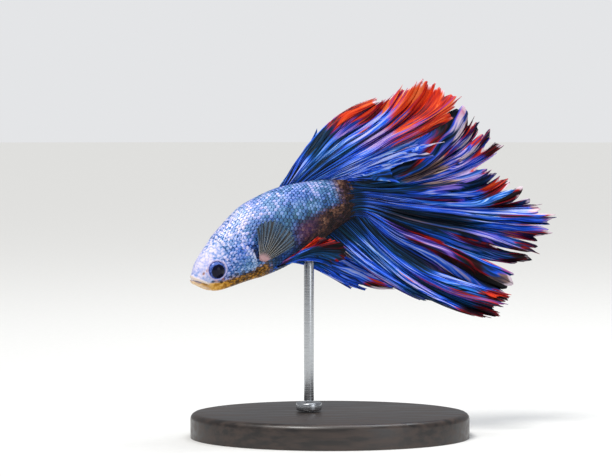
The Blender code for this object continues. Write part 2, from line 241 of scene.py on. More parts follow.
# ---------------------------------------------------------------- node trees
class Graph:
    """Short calls for building a material's or a group's node tree."""

    def __init__(self, tree: bpy.types.NodeTree) -> None:
        """Works on a tree."""
        self.tree = tree

    def node(self, kind: str, **values: object) -> bpy.types.Node:
        """Adds a node; values set its properties, or its inputs where the name is an input's.

        Args:
            kind: the node's type without "ShaderNode".
            values: property names, or input names with underscores for spaces.

        Returns:
            The node.
        """
        node = self.tree.nodes.new("ShaderNode" + kind)
        for key, value in values.items():
            if hasattr(node, key):
                setattr(node, key, value)
            else:
                self.feed(node.inputs[key.replace("_", " ")], value)
        return node

    def feed(self, socket: Socket, value: object) -> None:
        """Links a socket, or sets its value.

        Args:
            socket: the input to feed.
            value: an output socket, a number or a colour.
        """
        if isinstance(value, Socket):
            self.tree.links.new(value, socket)
        elif isinstance(value, tuple) and len(value) == 3 and socket.type == "RGBA":
            socket.default_value = (*value, 1)
        else:
            socket.default_value = value

    def value(self, name: str) -> Socket:
        """Reads one of the piece's attributes."""
        return self.node("Attribute", attribute_name=name).outputs["Fac"]

    def math(self, operation: str, *terms: object, clamp: bool = False) -> Socket:
        """A Math node on up to three terms.

        Args:
            operation: the node's operation.
            terms: values or sockets.
            clamp: True to keep the result from 0 to 1.

        Returns:
            The result.
        """
        node = self.node("Math", operation=operation, use_clamp=clamp)
        for socket, term in zip(node.inputs, terms):
            self.feed(socket, term)
        return node.outputs[0]

    def plus(self, a: object, b: object, clamp: bool = False) -> Socket:
        """The sum of two values."""
        return self.math("ADD", a, b, clamp=clamp)

    def times(self, a: object, b: object, clamp: bool = False) -> Socket:
        """The product of two values."""
        return self.math("MULTIPLY", a, b, clamp=clamp)

    def scaled(self, a: object, by: object, plus: object, clamp: bool = False) -> Socket:
        """A value times another, plus a third."""
        return self.math("MULTIPLY_ADD", a, by, plus, clamp=clamp)

    def weighted(self, value: object, terms: tuple[tuple[object, float], ...]) -> Socket:
        """Adds each term, times its weight, to a value."""
        for term, weight in terms:
            value = self.scaled(term, weight, value)
        return value

    def step(self, value: object, low: float, high: float) -> Socket:
        """A soft step of a value from 0 at low to 1 at high; low may be the larger.

        Args:
            value: the value to read.
            low: where the result is 0.
            high: where it is 1.

        Returns:
            The result.
        """
        node = self.node("MapRange", interpolation_type="SMOOTHSTEP")
        ends = (low, high, 0.0, 1.0) if low < high else (high, low, 1.0, 0.0)
        for socket, term in zip(node.inputs, (value, *ends)):
            self.feed(socket, term)
        return node.outputs[0]

    def mix(self, share: object, a: object, b: object, blend: str = "MIX") -> Socket:
        """Blends two colours.

        Args:
            share: how much of b shows.
            a: the colour beneath.
            b: the colour over it.
            blend: the node's way of blending.

        Returns:
            The colour.
        """
        node = self.node("Mix", data_type="RGBA", blend_type=blend, clamp_factor=True)
        for index, term in ((0, share), (6, a), (7, b)):
            self.feed(node.inputs[index], term)
        return node.outputs[2]

    def ramp(self, value: object, stops: Stops) -> Socket:
        """Reads a colour from a row of colours.

        Args:
            value: the place to read, from 0 to 1.
            stops: places and their colours; the first is at 0 and the last at 1.

        Returns:
            The colour.
        """
        node = self.node("ValToRGB")
        self.feed(node.inputs[0], value)
        elements = node.color_ramp.elements
        for at, colour in stops:
            if at in (0.0, 1.0):
                elements[-1 if at else 0].color = (*colour, 1)
            else:
                elements.new(at).color = (*colour, 1)
        return node.outputs["Color"]

    def noise(self, vector: object, scale: float, detail: float = 2.0) -> Socket:
        """A Noise texture's value."""
        return self.node("TexNoise", Vector=vector, Scale=scale, Detail=detail).outputs["Fac"]

    def lattice(self, across: object, along: object, depth: object = 0.0) -> Socket:
        """A vector from a piece's own coordinates."""
        return self.node("CombineXYZ", X=across, Y=along, Z=depth).outputs[0]

    def bumped(self, height: object, strength: float, distance: float) -> Socket:
        """A normal from a height in millimetres."""
        return self.node(
            "Bump", Height=height, Strength=strength, Distance=distance * MM
        ).outputs["Normal"]

    def object_place(self) -> Socket:
        """The place on the piece, in metres."""
        return self.node("TexCoord").outputs["Object"]


class Group(Graph):
    """A shader node group with named inputs and outputs."""

    def __init__(self, name: str, inputs: dict[str, str], outputs: dict[str, str]) -> None:
        """Makes the group's tree and its sockets.

        Args:
            name: the group's name.
            inputs: socket names, each with "Float" or "Color".
            outputs: the same for the outputs.
        """
        super().__init__(bpy.data.node_groups.new(name, "ShaderNodeTree"))
        for way, sockets in (("INPUT", inputs), ("OUTPUT", outputs)):
            for title, kind in sockets.items():
                self.tree.interface.new_socket(title, in_out=way, socket_type="NodeSocket" + kind)
        self.inlet = self.tree.nodes.new("NodeGroupInput").outputs
        self.outlet = self.tree.nodes.new("NodeGroupOutput").inputs

    def give(self, **results: object) -> None:
        """Feeds the group's outputs."""
        for title, value in results.items():
            self.feed(self.outlet[title], value)


class Surface(Graph):
    """A material with one Principled shader."""

    def __init__(self, name: str, **shader: object) -> None:
        """Makes the material; shader sets the shader's own sockets, with underscores for spaces.

        Args:
            name: the material's name.
            shader: values for the shader's sockets.
        """
        self.material = bpy.data.materials.new(name)
        self.material.use_nodes = True
        super().__init__(self.material.node_tree)
        self.shader = self.tree.nodes["Principled BSDF"]
        for title, value in shader.items():
            self.dress(title, value)

    def dress(self, title: str, value: object) -> None:
        """Links or sets one of the shader's sockets."""
        self.feed(self.shader.inputs[title.replace("_", " ")], value)

    def use(self, group: Group, **values: object) -> bpy.types.NodeOutputs:
        """Places a group, feeds its inputs and gives back its outputs.

        Args:
            group: the group to place.
            values: what feeds each of its inputs.

        Returns:
            The group node's outputs.
        """
        node = self.tree.nodes.new("ShaderNodeGroup")
        node.node_tree = group.tree
        for title, value in values.items():
            self.feed(node.inputs[title], value)
        return node.outputs


# ---------------------------------------------------------------- the body's form
@dataclass(frozen=True)
class Section:
    """One cross-section of the body: its centre, and its reach up, down and sideways."""

    x: float
    y: float
    z: float
    up: float
    down: float
    side: float

    def row(self) -> list[float]:
        """The section as a row of numbers."""
        return [self.x, self.y, self.z, self.up, self.down, self.side]


@dataclass
class Body:
    """The form of the flesh: sections read by station, 0 at the snout and 10 at the tail's root."""

    sections: tuple[Section, ...] = (
        Section(-26.8, -13.1, 32.3, 0.9, 0.9, 0.9),
        Section(-24.8, -11.6, 33.4, 3.4, 3.1, 2.3),
        Section(-21.7, -9.6, 35.2, 5.3, 5.0, 3.3),
        Section(-18.4, -7.3, 37.5, 6.5, 6.4, 3.9),
        Section(-14.9, -5.0, 39.7, 7.6, 7.4, 4.3),
        Section(-11.4, -2.9, 41.7, 7.6, 7.8, 4.4),
        Section(-7.8, -0.9, 43.5, 7.3, 7.4, 4.1),
        Section(-4.4, 1.0, 45.1, 6.5, 6.6, 3.5),
        Section(-1.0, 2.6, 46.5, 5.5, 5.6, 2.8),
        Section(2.8, 4.4, 47.6, 4.3, 4.5, 1.9),
        Section(6.3, 6.0, 48.2, 3.4, 3.5, 1.15),
    )
    squareness: float = 0.92
    belly_pinch: float = 0.10
    station_length: float = 4.1
    snout_rounding: float = 0.3
    stalk_rounding: float = 0.35
    head_spacing: float = 0.55

    def __post_init__(self) -> None:
        """Keeps the sections as rows."""
        self.rows = np.array([s.row() for s in self.sections])
        self.end = len(self.rows) - 1.0

    def station_at(self, share: Array) -> Array:
        """The station at a share of the skin's rings, which lie closest at the head."""
        return self.end * (self.head_spacing * share + (1 - self.head_spacing) * share**2)

    def share_at(self, station: Array) -> Array:
        """The share of the skin's rings at a station."""
        near, far = self.head_spacing, 1 - self.head_spacing
        return (np.sqrt(near**2 + 4 * far * station / self.end) - near) / (2 * far)

    def axes(self, station: Array) -> tuple[Array, Array, Array, Array]:
        """The sections' rows, and unit vectors tailwards, to the left flank and to the back.

        Args:
            station: how far along the body.

        Returns:
            The rows, and one unit vector of each kind for each station.
        """
        low, high = np.maximum(station - 0.05, 0), np.minimum(station + 0.05, self.end)
        tailwards = (through(self.rows, high) - through(self.rows, low))[:, :3]
        tailwards /= np.linalg.norm(tailwards, axis=1)[:, None]
        left = np.column_stack([tailwards[:, 1], -tailwards[:, 0], 0 * station])
        left /= np.linalg.norm(left, axis=1)[:, None]
        return through(self.rows, station), tailwards, left, np.cross(left, tailwards)

    def point(self, station: Array, degrees: Array, lift: Array | float = 0.0) -> Array:
        """Points on the body.

        Args:
            station: how far along the body.
            degrees: the angle round the section: 0 is the left flank, 90 the back.
            lift: how far outside the surface.

        Returns:
            The points, in millimetres.
        """
        station, degrees = np.broadcast_arrays(np.asarray(station, float), degrees)
        row, tailwards, left, back = self.axes(station)
        a = np.radians(degrees)
        nose = np.clip(1 - station / self.snout_rounding, 0, 1)
        stub = np.clip(1 - (self.end - station) / self.stalk_rounding, 0, 1)
        shrink = np.sqrt(np.clip(1 - nose**2, 0, 1)) * np.sqrt(np.clip(1 - stub**2, 0, 1))
        tall = np.where(np.sin(a) > 0, row[:, 3], row[:, 4]) * shrink + lift
        across = np.sign(np.cos(a)) * np.abs(np.cos(a)) ** self.squareness
        across *= (row[:, 5] * shrink + lift) * (1 - self.belly_pinch * np.clip(-np.sin(a), 0, 1))
        push = (stub**2 - nose**2) * 0.5
        return (
            row[:, :3] + left * across[:, None] + back * (np.sin(a) * tall)[:, None]
            + tailwards * push[:, None]
        )

    def one(self, station: float, degrees: float, lift: float = 0.0) -> Array:
        """One point on the body."""
        return self.point(np.array([station]), np.array([degrees]), lift)[0]

    def ridge(self, stations: tuple[float, float], degrees: float, count: int, sunk: float) -> Array:
        """Points spaced along the back or the belly, a little inside the body."""
        at = np.linspace(*stations, count)
        return self.point(at, np.full(count, degrees), -sunk)


BODY = Body()


def fold_angle(degrees: Array) -> Array:
    """Angles round a section brought to one flank: -90 is the keel and 90 the back."""
    a = np.radians(degrees)
    return np.degrees(np.arctan2(np.sin(a), np.abs(np.cos(a))))


def coat_map(along: Array, turn: Array) -> Array:
    """Places on the coat's bake map, from shares along the body and round it."""
    return np.column_stack([along * 0.98 + 0.01, turn * 0.96 + 0.01])


# ---------------------------------------------------------------- the head's relief and the markings
@dataclass
class Eye:
    """One eye: a flattened globe with a domed pupil in a dark iris."""

    word: str
    radius: float = 1.9
    half_depth: float = 1.2
    nudge: Triple = (-0.7, -0.2, 0.2)
    station: float = 1.6
    drop: float = 3.0
    dome: float = 0.16
    pupil_slant: Triple = (-0.07, 0, 0.11)

    def __post_init__(self) -> None:
        """Reads the eye's place from its solid."""
        low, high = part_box("eye_" + self.word)
        self.centre = np.array((low + high) / 2) / MM + self.nudge
        side = 1 if self.word == "left" else -1
        angle = -self.drop if side > 0 else 180 + self.drop
        home = BODY.one(self.station, angle)
        out = BODY.one(self.station, angle, 1.0) - home
        ahead = BODY.one(self.station - 0.5, angle) - BODY.one(self.station + 0.5, angle)
        above = BODY.one(self.station, angle + 20 * side) - home
        looks = np.cross(ahead, above)
        self.looks = looks / np.linalg.norm(looks) * np.sign(looks @ out)

    def from_axis(self, points: Array) -> Array:
        """How far points lie from the line that the eye looks along; large on the other flank.

        Args:
            points: the places to test, in mm.

        Returns:
            The distances, in mm.
        """
        offset = points - self.centre
        depth = offset @ self.looks
        distance = np.linalg.norm(offset - depth[:, None] * self.looks, axis=1)
        return np.where(depth > -2.2, distance, 99.0)

    def build(self, material: Material) -> Object:
        """Makes the globe and puts it in place of its solid.

        Args:
            material: the eye's finish.

        Returns:
            The globe.
        """
        bm = bmesh.new()
        bmesh.ops.create_uvsphere(bm, u_segments=56, v_segments=40, radius=1)
        turn = np.array(Vector(self.looks).to_track_quat("Z", "Y").to_matrix())
        piece = Piece("globe_" + self.word, bm)
        unit = piece.points
        front = unit[:, 2] > 0
        out = np.hypot(unit[:, 0], unit[:, 1])
        shaped = unit * (self.radius, self.radius, self.half_depth)
        shaped[:, 2] += self.dome * smooth(0.9, 0.2, out) * front
        slant = np.linalg.inv(turn)[:2] @ self.pupil_slant
        pupil = np.hypot(*(unit[:, :2] + slant).T)
        piece.attribute("pupil", np.where(front, pupil, 1.0))
        piece.attribute("rim", np.where(front, out, 1.0))
        points = shaped @ turn.T + self.centre
        obj = piece.place(points, material)
        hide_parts("eye_" + self.word)
        return obj


@dataclass
class Markings:
    """The relief of the head, and the masks that the skin and the scales share."""

    eyes: tuple[Eye, Eye]
    mouth_corner: tuple[float, float] = (-24.1, 31.5)
    mouth_slope: float = 20.0
    gill_rear: float = 3.3
    gill_top: float = 24.0
    gill_foot: float = -50.0
    gill_rounding: float = 0.42
    freckles: tuple[tuple[float, float], ...] = (
        (1.10, -30), (1.47, -37), (1.86, -29), (2.11, -29), (2.42, -33), (2.75, -36),
    )
    gingers: tuple[tuple[float, float], ...] = ((0.68, 18), (0.99, 18), (1.25, -27), (1.62, -28))

    def spots(self, places: tuple[tuple[float, float], ...], station: Array, angle: Array) -> Array:
        """1 at each of some small spots on the head, fading out round it."""
        near = [bump(at, 0.11, station) * bump(turn, 6.0, angle) for at, turn in places]
        return smooth(0.15, 0.7, np.maximum.reduce(near))

    def eye_distance(self, points: Array) -> Array:
        """How far points lie from the nearer eye's axis."""
        return np.minimum(*(eye.from_axis(points) for eye in self.eyes))

    def mouth(self, points: Array) -> tuple[Array, Array]:
        """How far points lie above the line of the mouth, and how far ahead of its corner.

        Args:
            points: the places to test, in mm.

        Returns:
            Both distances, in mm.
        """
        turn = math.radians(self.mouth_slope)
        x, z = points[:, 0] - self.mouth_corner[0], points[:, 2] - self.mouth_corner[1]
        return x * math.sin(turn) + z * math.cos(turn), z * math.sin(turn) - x * math.cos(turn)

    def behind_gill(self, station: Array, angle: Array) -> tuple[Array, Array]:
        """How far ahead of the gill cover's rear edge a place is, in mm, and its share of the cover.

        Args:
            station: how far along the body.
            angle: the angle on one flank, 90 at the back.

        Returns:
            The distance and the share.
        """
        v = (self.gill_top - angle) / (self.gill_top - self.gill_foot)
        edge = self.gill_rear - self.gill_rounding * np.abs(2 * v - 1) ** 2.2
        inside = smooth(-0.06, 0.10, v) * smooth(1.06, 0.90, v)
        return (edge - station) * BODY.station_length, inside

    def relief(self, station: Array, degrees: Array) -> Array:
        """How far the skin stands out from the plain form, in mm.

        Args:
            station: how far along the body.
            degrees: the angle round the section.

        Returns:
            The lift at each place.
        """
        points = BODY.point(station, degrees)
        angle = fold_angle(degrees)
        eye = self.eye_distance(points)
        above, ahead = self.mouth(points)
        edge, cover = self.behind_gill(station, angle)
        flesh = -0.12 * smooth(0.5, 1.3, station)
        socket = 0.2 * bump(self.eyes[0].radius, 0.22, eye) - 1.5 * smooth(1.8, 1.4, eye)
        chin = 0.5 * bump(1.2, 0.6, station) * smooth(-42, -62, angle)
        lips = 0.24 * bump(0.42, 0.26, above) + 0.20 * bump(-0.42, 0.26, above)
        lips = lips * smooth(-0.5, 0.3, ahead)
        mouth_line = -0.55 * bump(0, 0.13, above) * smooth(-0.3, 0.1, ahead)
        mouth_end = -0.14 * bump(-0.7, 0.3, ahead) * bump(0, 0.8, above)
        gill_plate = 0.34 * smooth(-0.02, 0.22, edge) * smooth(4.6, 0.6, edge)
        gill_slit = -0.24 * bump(-0.22, 0.2, edge)
        cheek_crease = -0.16 * bump(4.5, 0.22, edge)
        throat_crease = -0.2 * bump(-55, 3.0, angle) * smooth(1.3, 1.7, station) * smooth(3.5, 3.1, station)
        front_nostril = -0.22 * bump(0.70, 0.05, station) * bump(18, 4.5, angle)
        rear_nostril = -0.16 * bump(0.99, 0.04, station) * bump(18, 3.5, angle)
        return (
            flesh + socket + chin + lips + mouth_line + mouth_end
            + cover * (gill_plate + gill_slit + cheek_crease)
            + throat_crease + front_nostril + rear_nostril
        )

    def masks(self, station: Array, degrees: Array) -> dict[str, Array]:
        """Where each colour of the coat lies, and where light and shade are painted on it, each mask from 0
        to 1.

        Args:
            station: how far along the body.
            degrees: the angle round the section.

        Returns:
            One row of values for each mask.
        """
        points = BODY.point(station, degrees)
        angle = fold_angle(degrees)
        eye = self.eye_distance(points)
        above, ahead = self.mouth(points)
        edge, cover = self.behind_gill(station, angle)
        # Painted top light: the back is painted paler where light from above falls; the pale head is partly
        # its own colour.
        pale_head_and_top_light = np.maximum(smooth(0, 50, angle), 0.95 * smooth(1.8, 1.0, station))
        pale_head_and_top_light = np.maximum(pale_head_and_top_light, 0.56 * smooth(3.6, 3.1, station))
        throat = smooth(-30, -40, angle) * smooth(4.0, 3.6, station)
        lip = smooth(-1.2, 0.2, ahead)
        return {
            "pale_head_and_top_light": pale_head_and_top_light * (0.55 + 0.55 * smooth(5.6, 3.2, station)) * smooth(8.8, 7.8, station),
            "shade": np.maximum(
                smooth(20, -40, angle) * smooth(3.2, 4.4, station),
                1.8 * bump(4.8, 1.0, station) * bump(-38, 26, angle),
            ),
            "mottle": smooth(3.8, 3.0, station) * (0.4 + 0.6 * smooth(0.8, 1.8, station)),
            "copper": np.maximum(
                smooth(5.2, 6.2, station) * smooth(4, -12, angle), smooth(8.2, 8.9, station)
            ) * smooth(9.9, 9.3, station),
            "plum": bump(6.1, 0.7, station) * bump(-18, 16, angle),
            "azure": np.maximum.reduce([
                0.5 * bump(4.7, 0.5, station) * bump(-40, 14, angle),
                0.9 * bump(2.75, 0.5, station) * bump(8, 18, angle),
                0.5 * bump(2.4, 0.9, station) * bump(-12, 28, angle),
            ]),
            "dusk": smooth(8.2, 9.3, station),
            "teal": np.maximum.reduce([
                0.6 * bump(2.8, 0.6, station) * bump(-22, 16, angle),
                0.5 * bump(6.2, 1.5, station) * bump(8, 18, angle),
                1.0 * bump(4.7, 0.8, station) * bump(-34, 26, angle),
            ]),
            "gold": np.maximum(throat, smooth(0.1, -0.4, above) * smooth(-9, -4, ahead)),
            "rust": smooth(0.8, 2.4, station),
            "lips": np.maximum(bump(0.34, 0.3, above), 0.6 * bump(-0.5, 0.24, above)) * lip,
            # Dark freckles on the head, and painted shade along the crease of the mouth.
            "freckle_and_mouth_shade": np.maximum(
                self.spots(self.freckles, station, angle), 0.45 * bump(0, 0.13, above) * lip
            ),
            "ginger": self.spots(self.gingers, station, angle),
            "ring": bump(self.eyes[0].radius, 0.2, eye),
            # A pale band inside the gill cover's edge, and painted shade in the slit behind it.
            "gill": cover * (bump(0.5, 0.45, edge) - bump(-0.22, 0.22, edge)),
        }


@dataclass
class Skin:
    """One skin over head, jaw, gill covers, trunk and tail stalk."""

    markings: Markings
    around: int = 176
    rings: int = 190

    def build(self, material: Material) -> Object:
        """Makes the skin in place of every node of flesh.

        Args:
            material: the skin's finish.

        Returns:
            The skin.
        """
        bm = bmesh.new()
        bmesh.ops.create_uvsphere(bm, u_segments=self.around, v_segments=self.rings, radius=1)
        piece = Piece("skin", bm)
        share = np.arccos(np.clip(piece.points[:, 2], -1, 1)) / math.pi
        degrees = np.degrees(np.arctan2(piece.points[:, 1], piece.points[:, 0]))
        station = BODY.station_at(share)
        pole = (share < 1e-4) | (share > 1 - 1e-4)
        lift = np.where(pole, 0, self.markings.relief(station, degrees))
        for name, mask in self.markings.masks(station, degrees).items():
            piece.attribute(name, mask)
        piece.attribute("tone", 0 * station + 0.5)
        piece.attribute("rim", 0 * station)
        corners = piece.loops()
        turn = self.unrolled(piece, degrees[corners], pole[corners])
        piece.bake_map(coat_map(share[corners], turn))
        obj = piece.place(BODY.point(station, degrees, lift), material)
        flesh = ("head", "lower_jaw", "gill_cover_left", "gill_cover_right", "trunk", "tail_stalk")
        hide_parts(*flesh)
        return obj

    def unrolled(self, piece: Piece, degrees: Array, pole: Array) -> Array:
        """The share of a turn at each face corner, kept whole across the seam and the poles.

        Args:
            piece: the skin.
            degrees: each corner's angle.
            pole: which corners lie at a pole.

        Returns:
            The shares, a little over 1 beyond the seam.
        """
        starts = numbers(piece.mesh.polygons, "loop_start")
        totals = numbers(piece.mesh.polygons, "loop_total")
        face = np.repeat(np.arange(len(starts)), totals)
        turn = (degrees / 360) % 1.0
        top = np.maximum.reduceat(turn, starts)[face]
        turn = np.where((top > 0.9) & (turn < 0.1), turn + 1, turn)
        low, top = np.minimum.reduceat(turn, starts)[face], np.maximum.reduceat(turn, starts)[face]
        return np.where(pole, (low + top) / 2, turn)


@dataclass
class Scales:
    """Overlapping scales in rows from the cheek to the root of the tail."""

    markings: Markings
    around: int = 56
    first: float = 1.15
    last: float = 9.7
    across_cells: int = 3
    along_cells: int = 3
    patch: float = 0.003
    pitch: float = 0.145
    pitch_growth: float = 0.03
    length: float = 0.86
    width: float = 0.60
    rise: float = 0.10
    most_lift: float = 0.12
    clear_of_eye: float = 2.4
    seed: int = 4

    def lattice(self) -> tuple[Array, Array, Array]:
        """Station, angle and length of each scale, every other column set half a step round.

        Returns:
            Three rows with one entry for each scale.
        """
        station, at, column = self.first, [], 0
        while station < self.last:
            pitch = float(self.pitch + self.pitch_growth * smooth(2.4, 4.2, np.array(station)))
            turns = (np.arange(self.around) + 0.5 * (column % 2)) * 360 / self.around
            at += [(station, turn, pitch) for turn in turns]
            station += pitch
            column += 1
        rows = np.array(at)
        return rows[:, 0], rows[:, 1], rows[:, 2]

    def kept(self, station: Array, degrees: Array) -> Array:
        """Which scales stay: none on the lips, the snout, the throat or round the eyes.

        Args:
            station: how far along the body.
            degrees: the angle round the section.

        Returns:
            True for each scale that stays.
        """
        points = BODY.point(station, degrees)
        angle = fold_angle(degrees)
        eye = self.markings.eye_distance(points)
        ahead = self.markings.mouth(points)[1]
        throat = (angle < -44) & (station < 3.2)
        snout = (ahead > -1.4) & (station < 2.3)
        return (eye > self.clear_of_eye) & ~throat & ~snout

    def build(self, material: Material) -> Object:
        """Makes one plate and lays a copy at each place of the lattice.

        Args:
            material: the scales' finish.

        Returns:
            The scales, as one piece.
        """
        station, degrees, pitch = self.lattice()
        keep = self.kept(station, degrees)
        station, degrees, pitch = station[keep], degrees[keep], pitch[keep]
        plate = SheetPiece("plate", self.across_cells, self.along_cells)
        p, q = plate.u * 2 - 1, plate.v * 2 - 1
        wide, long = p * np.sqrt(1 - q * q / 2), q * np.sqrt(1 - p * p / 2)
        count, size = len(station), len(p)
        LOG.info("%d scales", count)
        spin = np.random.default_rng(self.seed)
        tone = spin.random(count)
        stretch = pitch * (0.94 + 0.12 * spin.random(count)) * self.length
        s = station[:, None] + stretch[:, None] * (long[None] + 0.15)
        d = degrees[:, None] + 360 / self.around * self.width * wide[None]
        s, d = np.clip(s, 0.5, BODY.end - 0.02).ravel(), d.ravel()
        slope = 0.01 + self.rise * (long + 1) / 2 - 0.035 * wide**2 + 0.02 * plate.side
        lift = self.markings.relief(s, d) + np.minimum(np.tile(slope, count), self.most_lift)
        points = BODY.point(s, d, lift)
        piece = self.joined(plate, points, count)
        for name, mask in self.markings.masks(station, degrees).items():
            piece.attribute(name, np.repeat(mask, size))
        piece.attribute("tone", np.repeat(tone, size))
        piece.attribute("rim", np.tile(np.hypot(wide, long), count))
        roots = coat_map(BODY.share_at(station), (degrees / 360) % 1.0)
        spread = np.column_stack([long, wide]) * self.patch / 2
        uv = (roots[:, None] + spread[None]).reshape(-1, 2)
        piece.bake_map(uv[piece.loops()])
        obj = piece.place(points, material)
        return obj

    def joined(self, plate: SheetPiece, points: Array, count: int) -> Piece:
        """Joins every copy of the plate in one mesh.

        Args:
            plate: the one plate whose faces are repeated.
            points: the points of all copies, in millimetres.
            count: how many copies.

        Returns:
            The scales, not yet placed.
        """
        corners = plate.loops().reshape(-1, 4)
        faces = corners[None] + (np.arange(count) * len(plate.u))[:, None, None]
        mesh = bpy.data.meshes.new("scales")
        mesh.from_pydata(points.tolist(), [], faces.reshape(-1, 4).tolist())
        bm = bmesh.new()
        bm.from_mesh(mesh)
        bpy.data.meshes.remove(mesh)
        bpy.data.meshes.remove(plate.mesh)
        return Piece("scales", bm)


# ---------------------------------------------------------------- fins
class Tint(Enum):
    """The colours that a mark on a fin may have, painted sheen and painted shade among them; each is an
    attribute of its own.
    """

    RED = "red"
    ORANGE = "orange"
    # Painted sheen: it only lightens the streaks, as a highlight does.
    PAINTED_SHEEN = "painted_sheen"
    # Dark pigment between and at the roots of the rays, and in places painted shade, such as on the pelvic
    # fins.
    DARK = "dark"
    PALE = "pale"
    TAN = "tan"
    VIOLET = "violet"


@dataclass(frozen=True)
class Mark:
    """A soft ribbon of colour that may drift from one ray to the next.

    It runs from low to high, shares of the rays' length. Its middle and its half-width at each end
    are counted in guide rays. A row in a fin's table has these fields in order.
    """

    low: float
    first: float
    first_half: float
    high: float
    last: float
    last_half: float
    strength: float = 1.0

    def cover(self, at: Array, along: Array) -> Array:
        """How strongly the mark shows at each point.

        Args:
            at: the place across the fin, in guide rays.
            along: the share of the rays' length.

        Returns:
            The cover, from 0 to the mark's strength.
        """
        share = np.clip((along - self.low) / (self.high - self.low), 0, 1)
        middle = self.first + (self.last - self.first) * share
        half = self.first_half + (self.last_half - self.first_half) * share
        cover = self.strength * np.exp(-(((at - middle) / half) ** 4))
        fade = min(0.07, (self.high - self.low) / 3)
        if self.low > 0:
            cover = cover * smooth(self.low - fade, self.low + fade, along)
        if self.high < 1:
            cover = cover * smooth(self.high + fade, self.high - fade, along)
        return cover


@dataclass(frozen=True)
class Ray:
    """A guide ray: its tip, its headings at root and tip, and the notch after it."""

    x: float
    y: float
    z: float
    leaves: float
    arrives: float
    notch: float = 0.0


@dataclass
class Fin:
    """A pleated sheet of branching rays that follows its guide rays."""

    node: str
    roots: Array
    guides: tuple[Ray, ...]
    marks: dict[Tint, tuple[tuple[float, ...], ...]]
    rows: int = 54
    fine_rays: int = 6
    tufts: int = 3
    ragged: float = 0.05
    serration: float = 0.012
    pleats: float = 1.5
    pleat_depth: float = 0.6
    swing: float = 0.12
    overlap: float = 1.1
    bow: float = 0.0
    seed: int = 1
    handle: float = 0.36
    notch_width: float = 0.17
    pointed: bool = False
    membrane: float = 0.055
    ray_height: float = 0.11
    ray_width: float = 0.26
    branches: tuple[tuple[int, float], ...] = ((4, -1.0), (2, 0.22), (1, 0.5))
    wander: float = 0.9
    slant: float = 0.9
    ripple: float = 0.35
    ripple_pace: float = 2.3

    def __post_init__(self) -> None:
        """Works out the guide curves and the chance variations."""
        self.curves = np.array([self.curve(r, g) for r, g in zip(self.roots, self.guides)])
        self.notches = np.array([guide.notch for guide in self.guides])
        spin = np.random.default_rng(self.seed)
        count = len(self.guides) * self.tufts + 3
        self.depths = self.ragged * (0.35 + spin.random(count))
        self.lengths = self.ragged * 0.8 * (spin.random(count) - 0.6)
        self.sway = spin.random(len(self.guides) + 3)
        self.swell = 0.6 + 0.7 * spin.random(len(self.guides) * 2 + 3)

    def curve(self, root: Array, guide: Ray) -> Array:
        """The four Bezier points of a guide ray, in one row.

        Args:
            root: where the ray starts.
            guide: its tip and headings.

        Returns:
            Twelve numbers, three for each point.
        """
        tip = np.array([guide.x, guide.y, guide.z])
        reach = np.linalg.norm(tip - root) * self.handle
        out, home = math.radians(guide.leaves), math.radians(guide.arrives)
        sway = (tip[1] - root[1]) * self.handle
        first = root + np.array([math.cos(out) * reach, sway + self.bow, math.sin(out) * reach])
        last = tip - np.array([math.cos(home) * reach, sway / 2, math.sin(home) * reach])
        return np.concatenate([root, first, last, tip])

    def ray_ridges(self, at: Array, along: Array) -> Array:
        """1 on a ray and 0 between rays; rays branch towards the margin.

        Args:
            at: the place across the fin, in guide rays.
            along: the share of the rays' length.

        Returns:
            The ridges' height.
        """
        height = np.zeros_like(at)
        for share, start in self.branches:
            rays = self.fine_rays / share
            off = np.abs((at * rays + 0.5) % 1.0 - 0.5) / rays * self.fine_rays
            ray = bump(0, self.ray_width, off) * smooth(start - 0.1, start + 0.12, along)
            height = np.maximum(height, ray)
        return height

    def reach(self, at: Array) -> Array:
        """How much of its full length each part of the margin has.

        Args:
            at: the place across the fin, in guide rays.

        Returns:
            The shares, near 1.
        """
        space = np.clip(np.floor(at).astype(int), 0, len(self.guides) - 2)
        middle = at - space - 0.5
        dip = 1 - np.abs(2 * middle) ** 1.5 if self.pointed else bump(0, self.notch_width, middle)
        reach = 1 - self.notches[space] * dip
        tuft = at * self.tufts + 0.5
        i = np.floor(tuft).astype(int)
        edge = np.abs(2 * (tuft - i) - 1) ** 2
        reach *= 1 - self.depths[i] * edge
        reach *= 1 - self.serration * np.abs((at * self.fine_rays + 0.5) % 1.0 - 0.5) * 2
        reach *= 1 + np.interp(tuft - 0.5, np.arange(len(self.lengths)), self.lengths)
        return reach

    def phase(self, at: Array, along: Array) -> Array:
        """Where each place lies in its pleat, as an angle."""
        wander = through(self.sway[:, None], at)[:, 0] * self.wander
        return 2 * math.pi * (at * self.pleats + wander) + self.slant * along

    def folding(self, at: Array, along: Array) -> tuple[Array, Array]:
        """The pleats' depth towards the viewer's side, in mm, and their phase's sine.

        Args:
            at: the place across the fin, in guide rays.
            along: the share of the rays' length.

        Returns:
            The depth and the sine.
        """
        phase = self.phase(at, along)
        swell = np.interp(at * 2, np.arange(len(self.swell)), self.swell)
        wave = np.sin(phase) + self.ripple * np.sin(self.ripple_pace * phase + 1.0)
        depth = self.pleat_depth * swell * along**1.25 * smooth(-0.02, 0.1, along)
        return -depth * wave, wave / (1 + self.ripple)

    def drift(self, at: Array, along: Array) -> Array:
        """How far the sheet swings and doubles over sideways, counted in guide rays.

        Args:
            at: the place across the fin, in guide rays.
            along: the share of the rays' length.

        Returns:
            The drift at each point.
        """
        last = len(self.guides) - 1
        sway = through(self.sway[:, None], at)[:, 0]
        turn = 2 * math.pi * (1.1 * along + 0.5 * sway)
        swing = self.swing * smooth(0.1, 0.6, along) * np.sin(turn)
        over = self.overlap * smooth(0.15, 0.7, along) / (4 * math.pi * self.pleats)
        over = over * np.sin(2 * self.phase(at, along))
        return (swing - over) * smooth(0, 0.8, at) * smooth(last, last - 0.8, at)

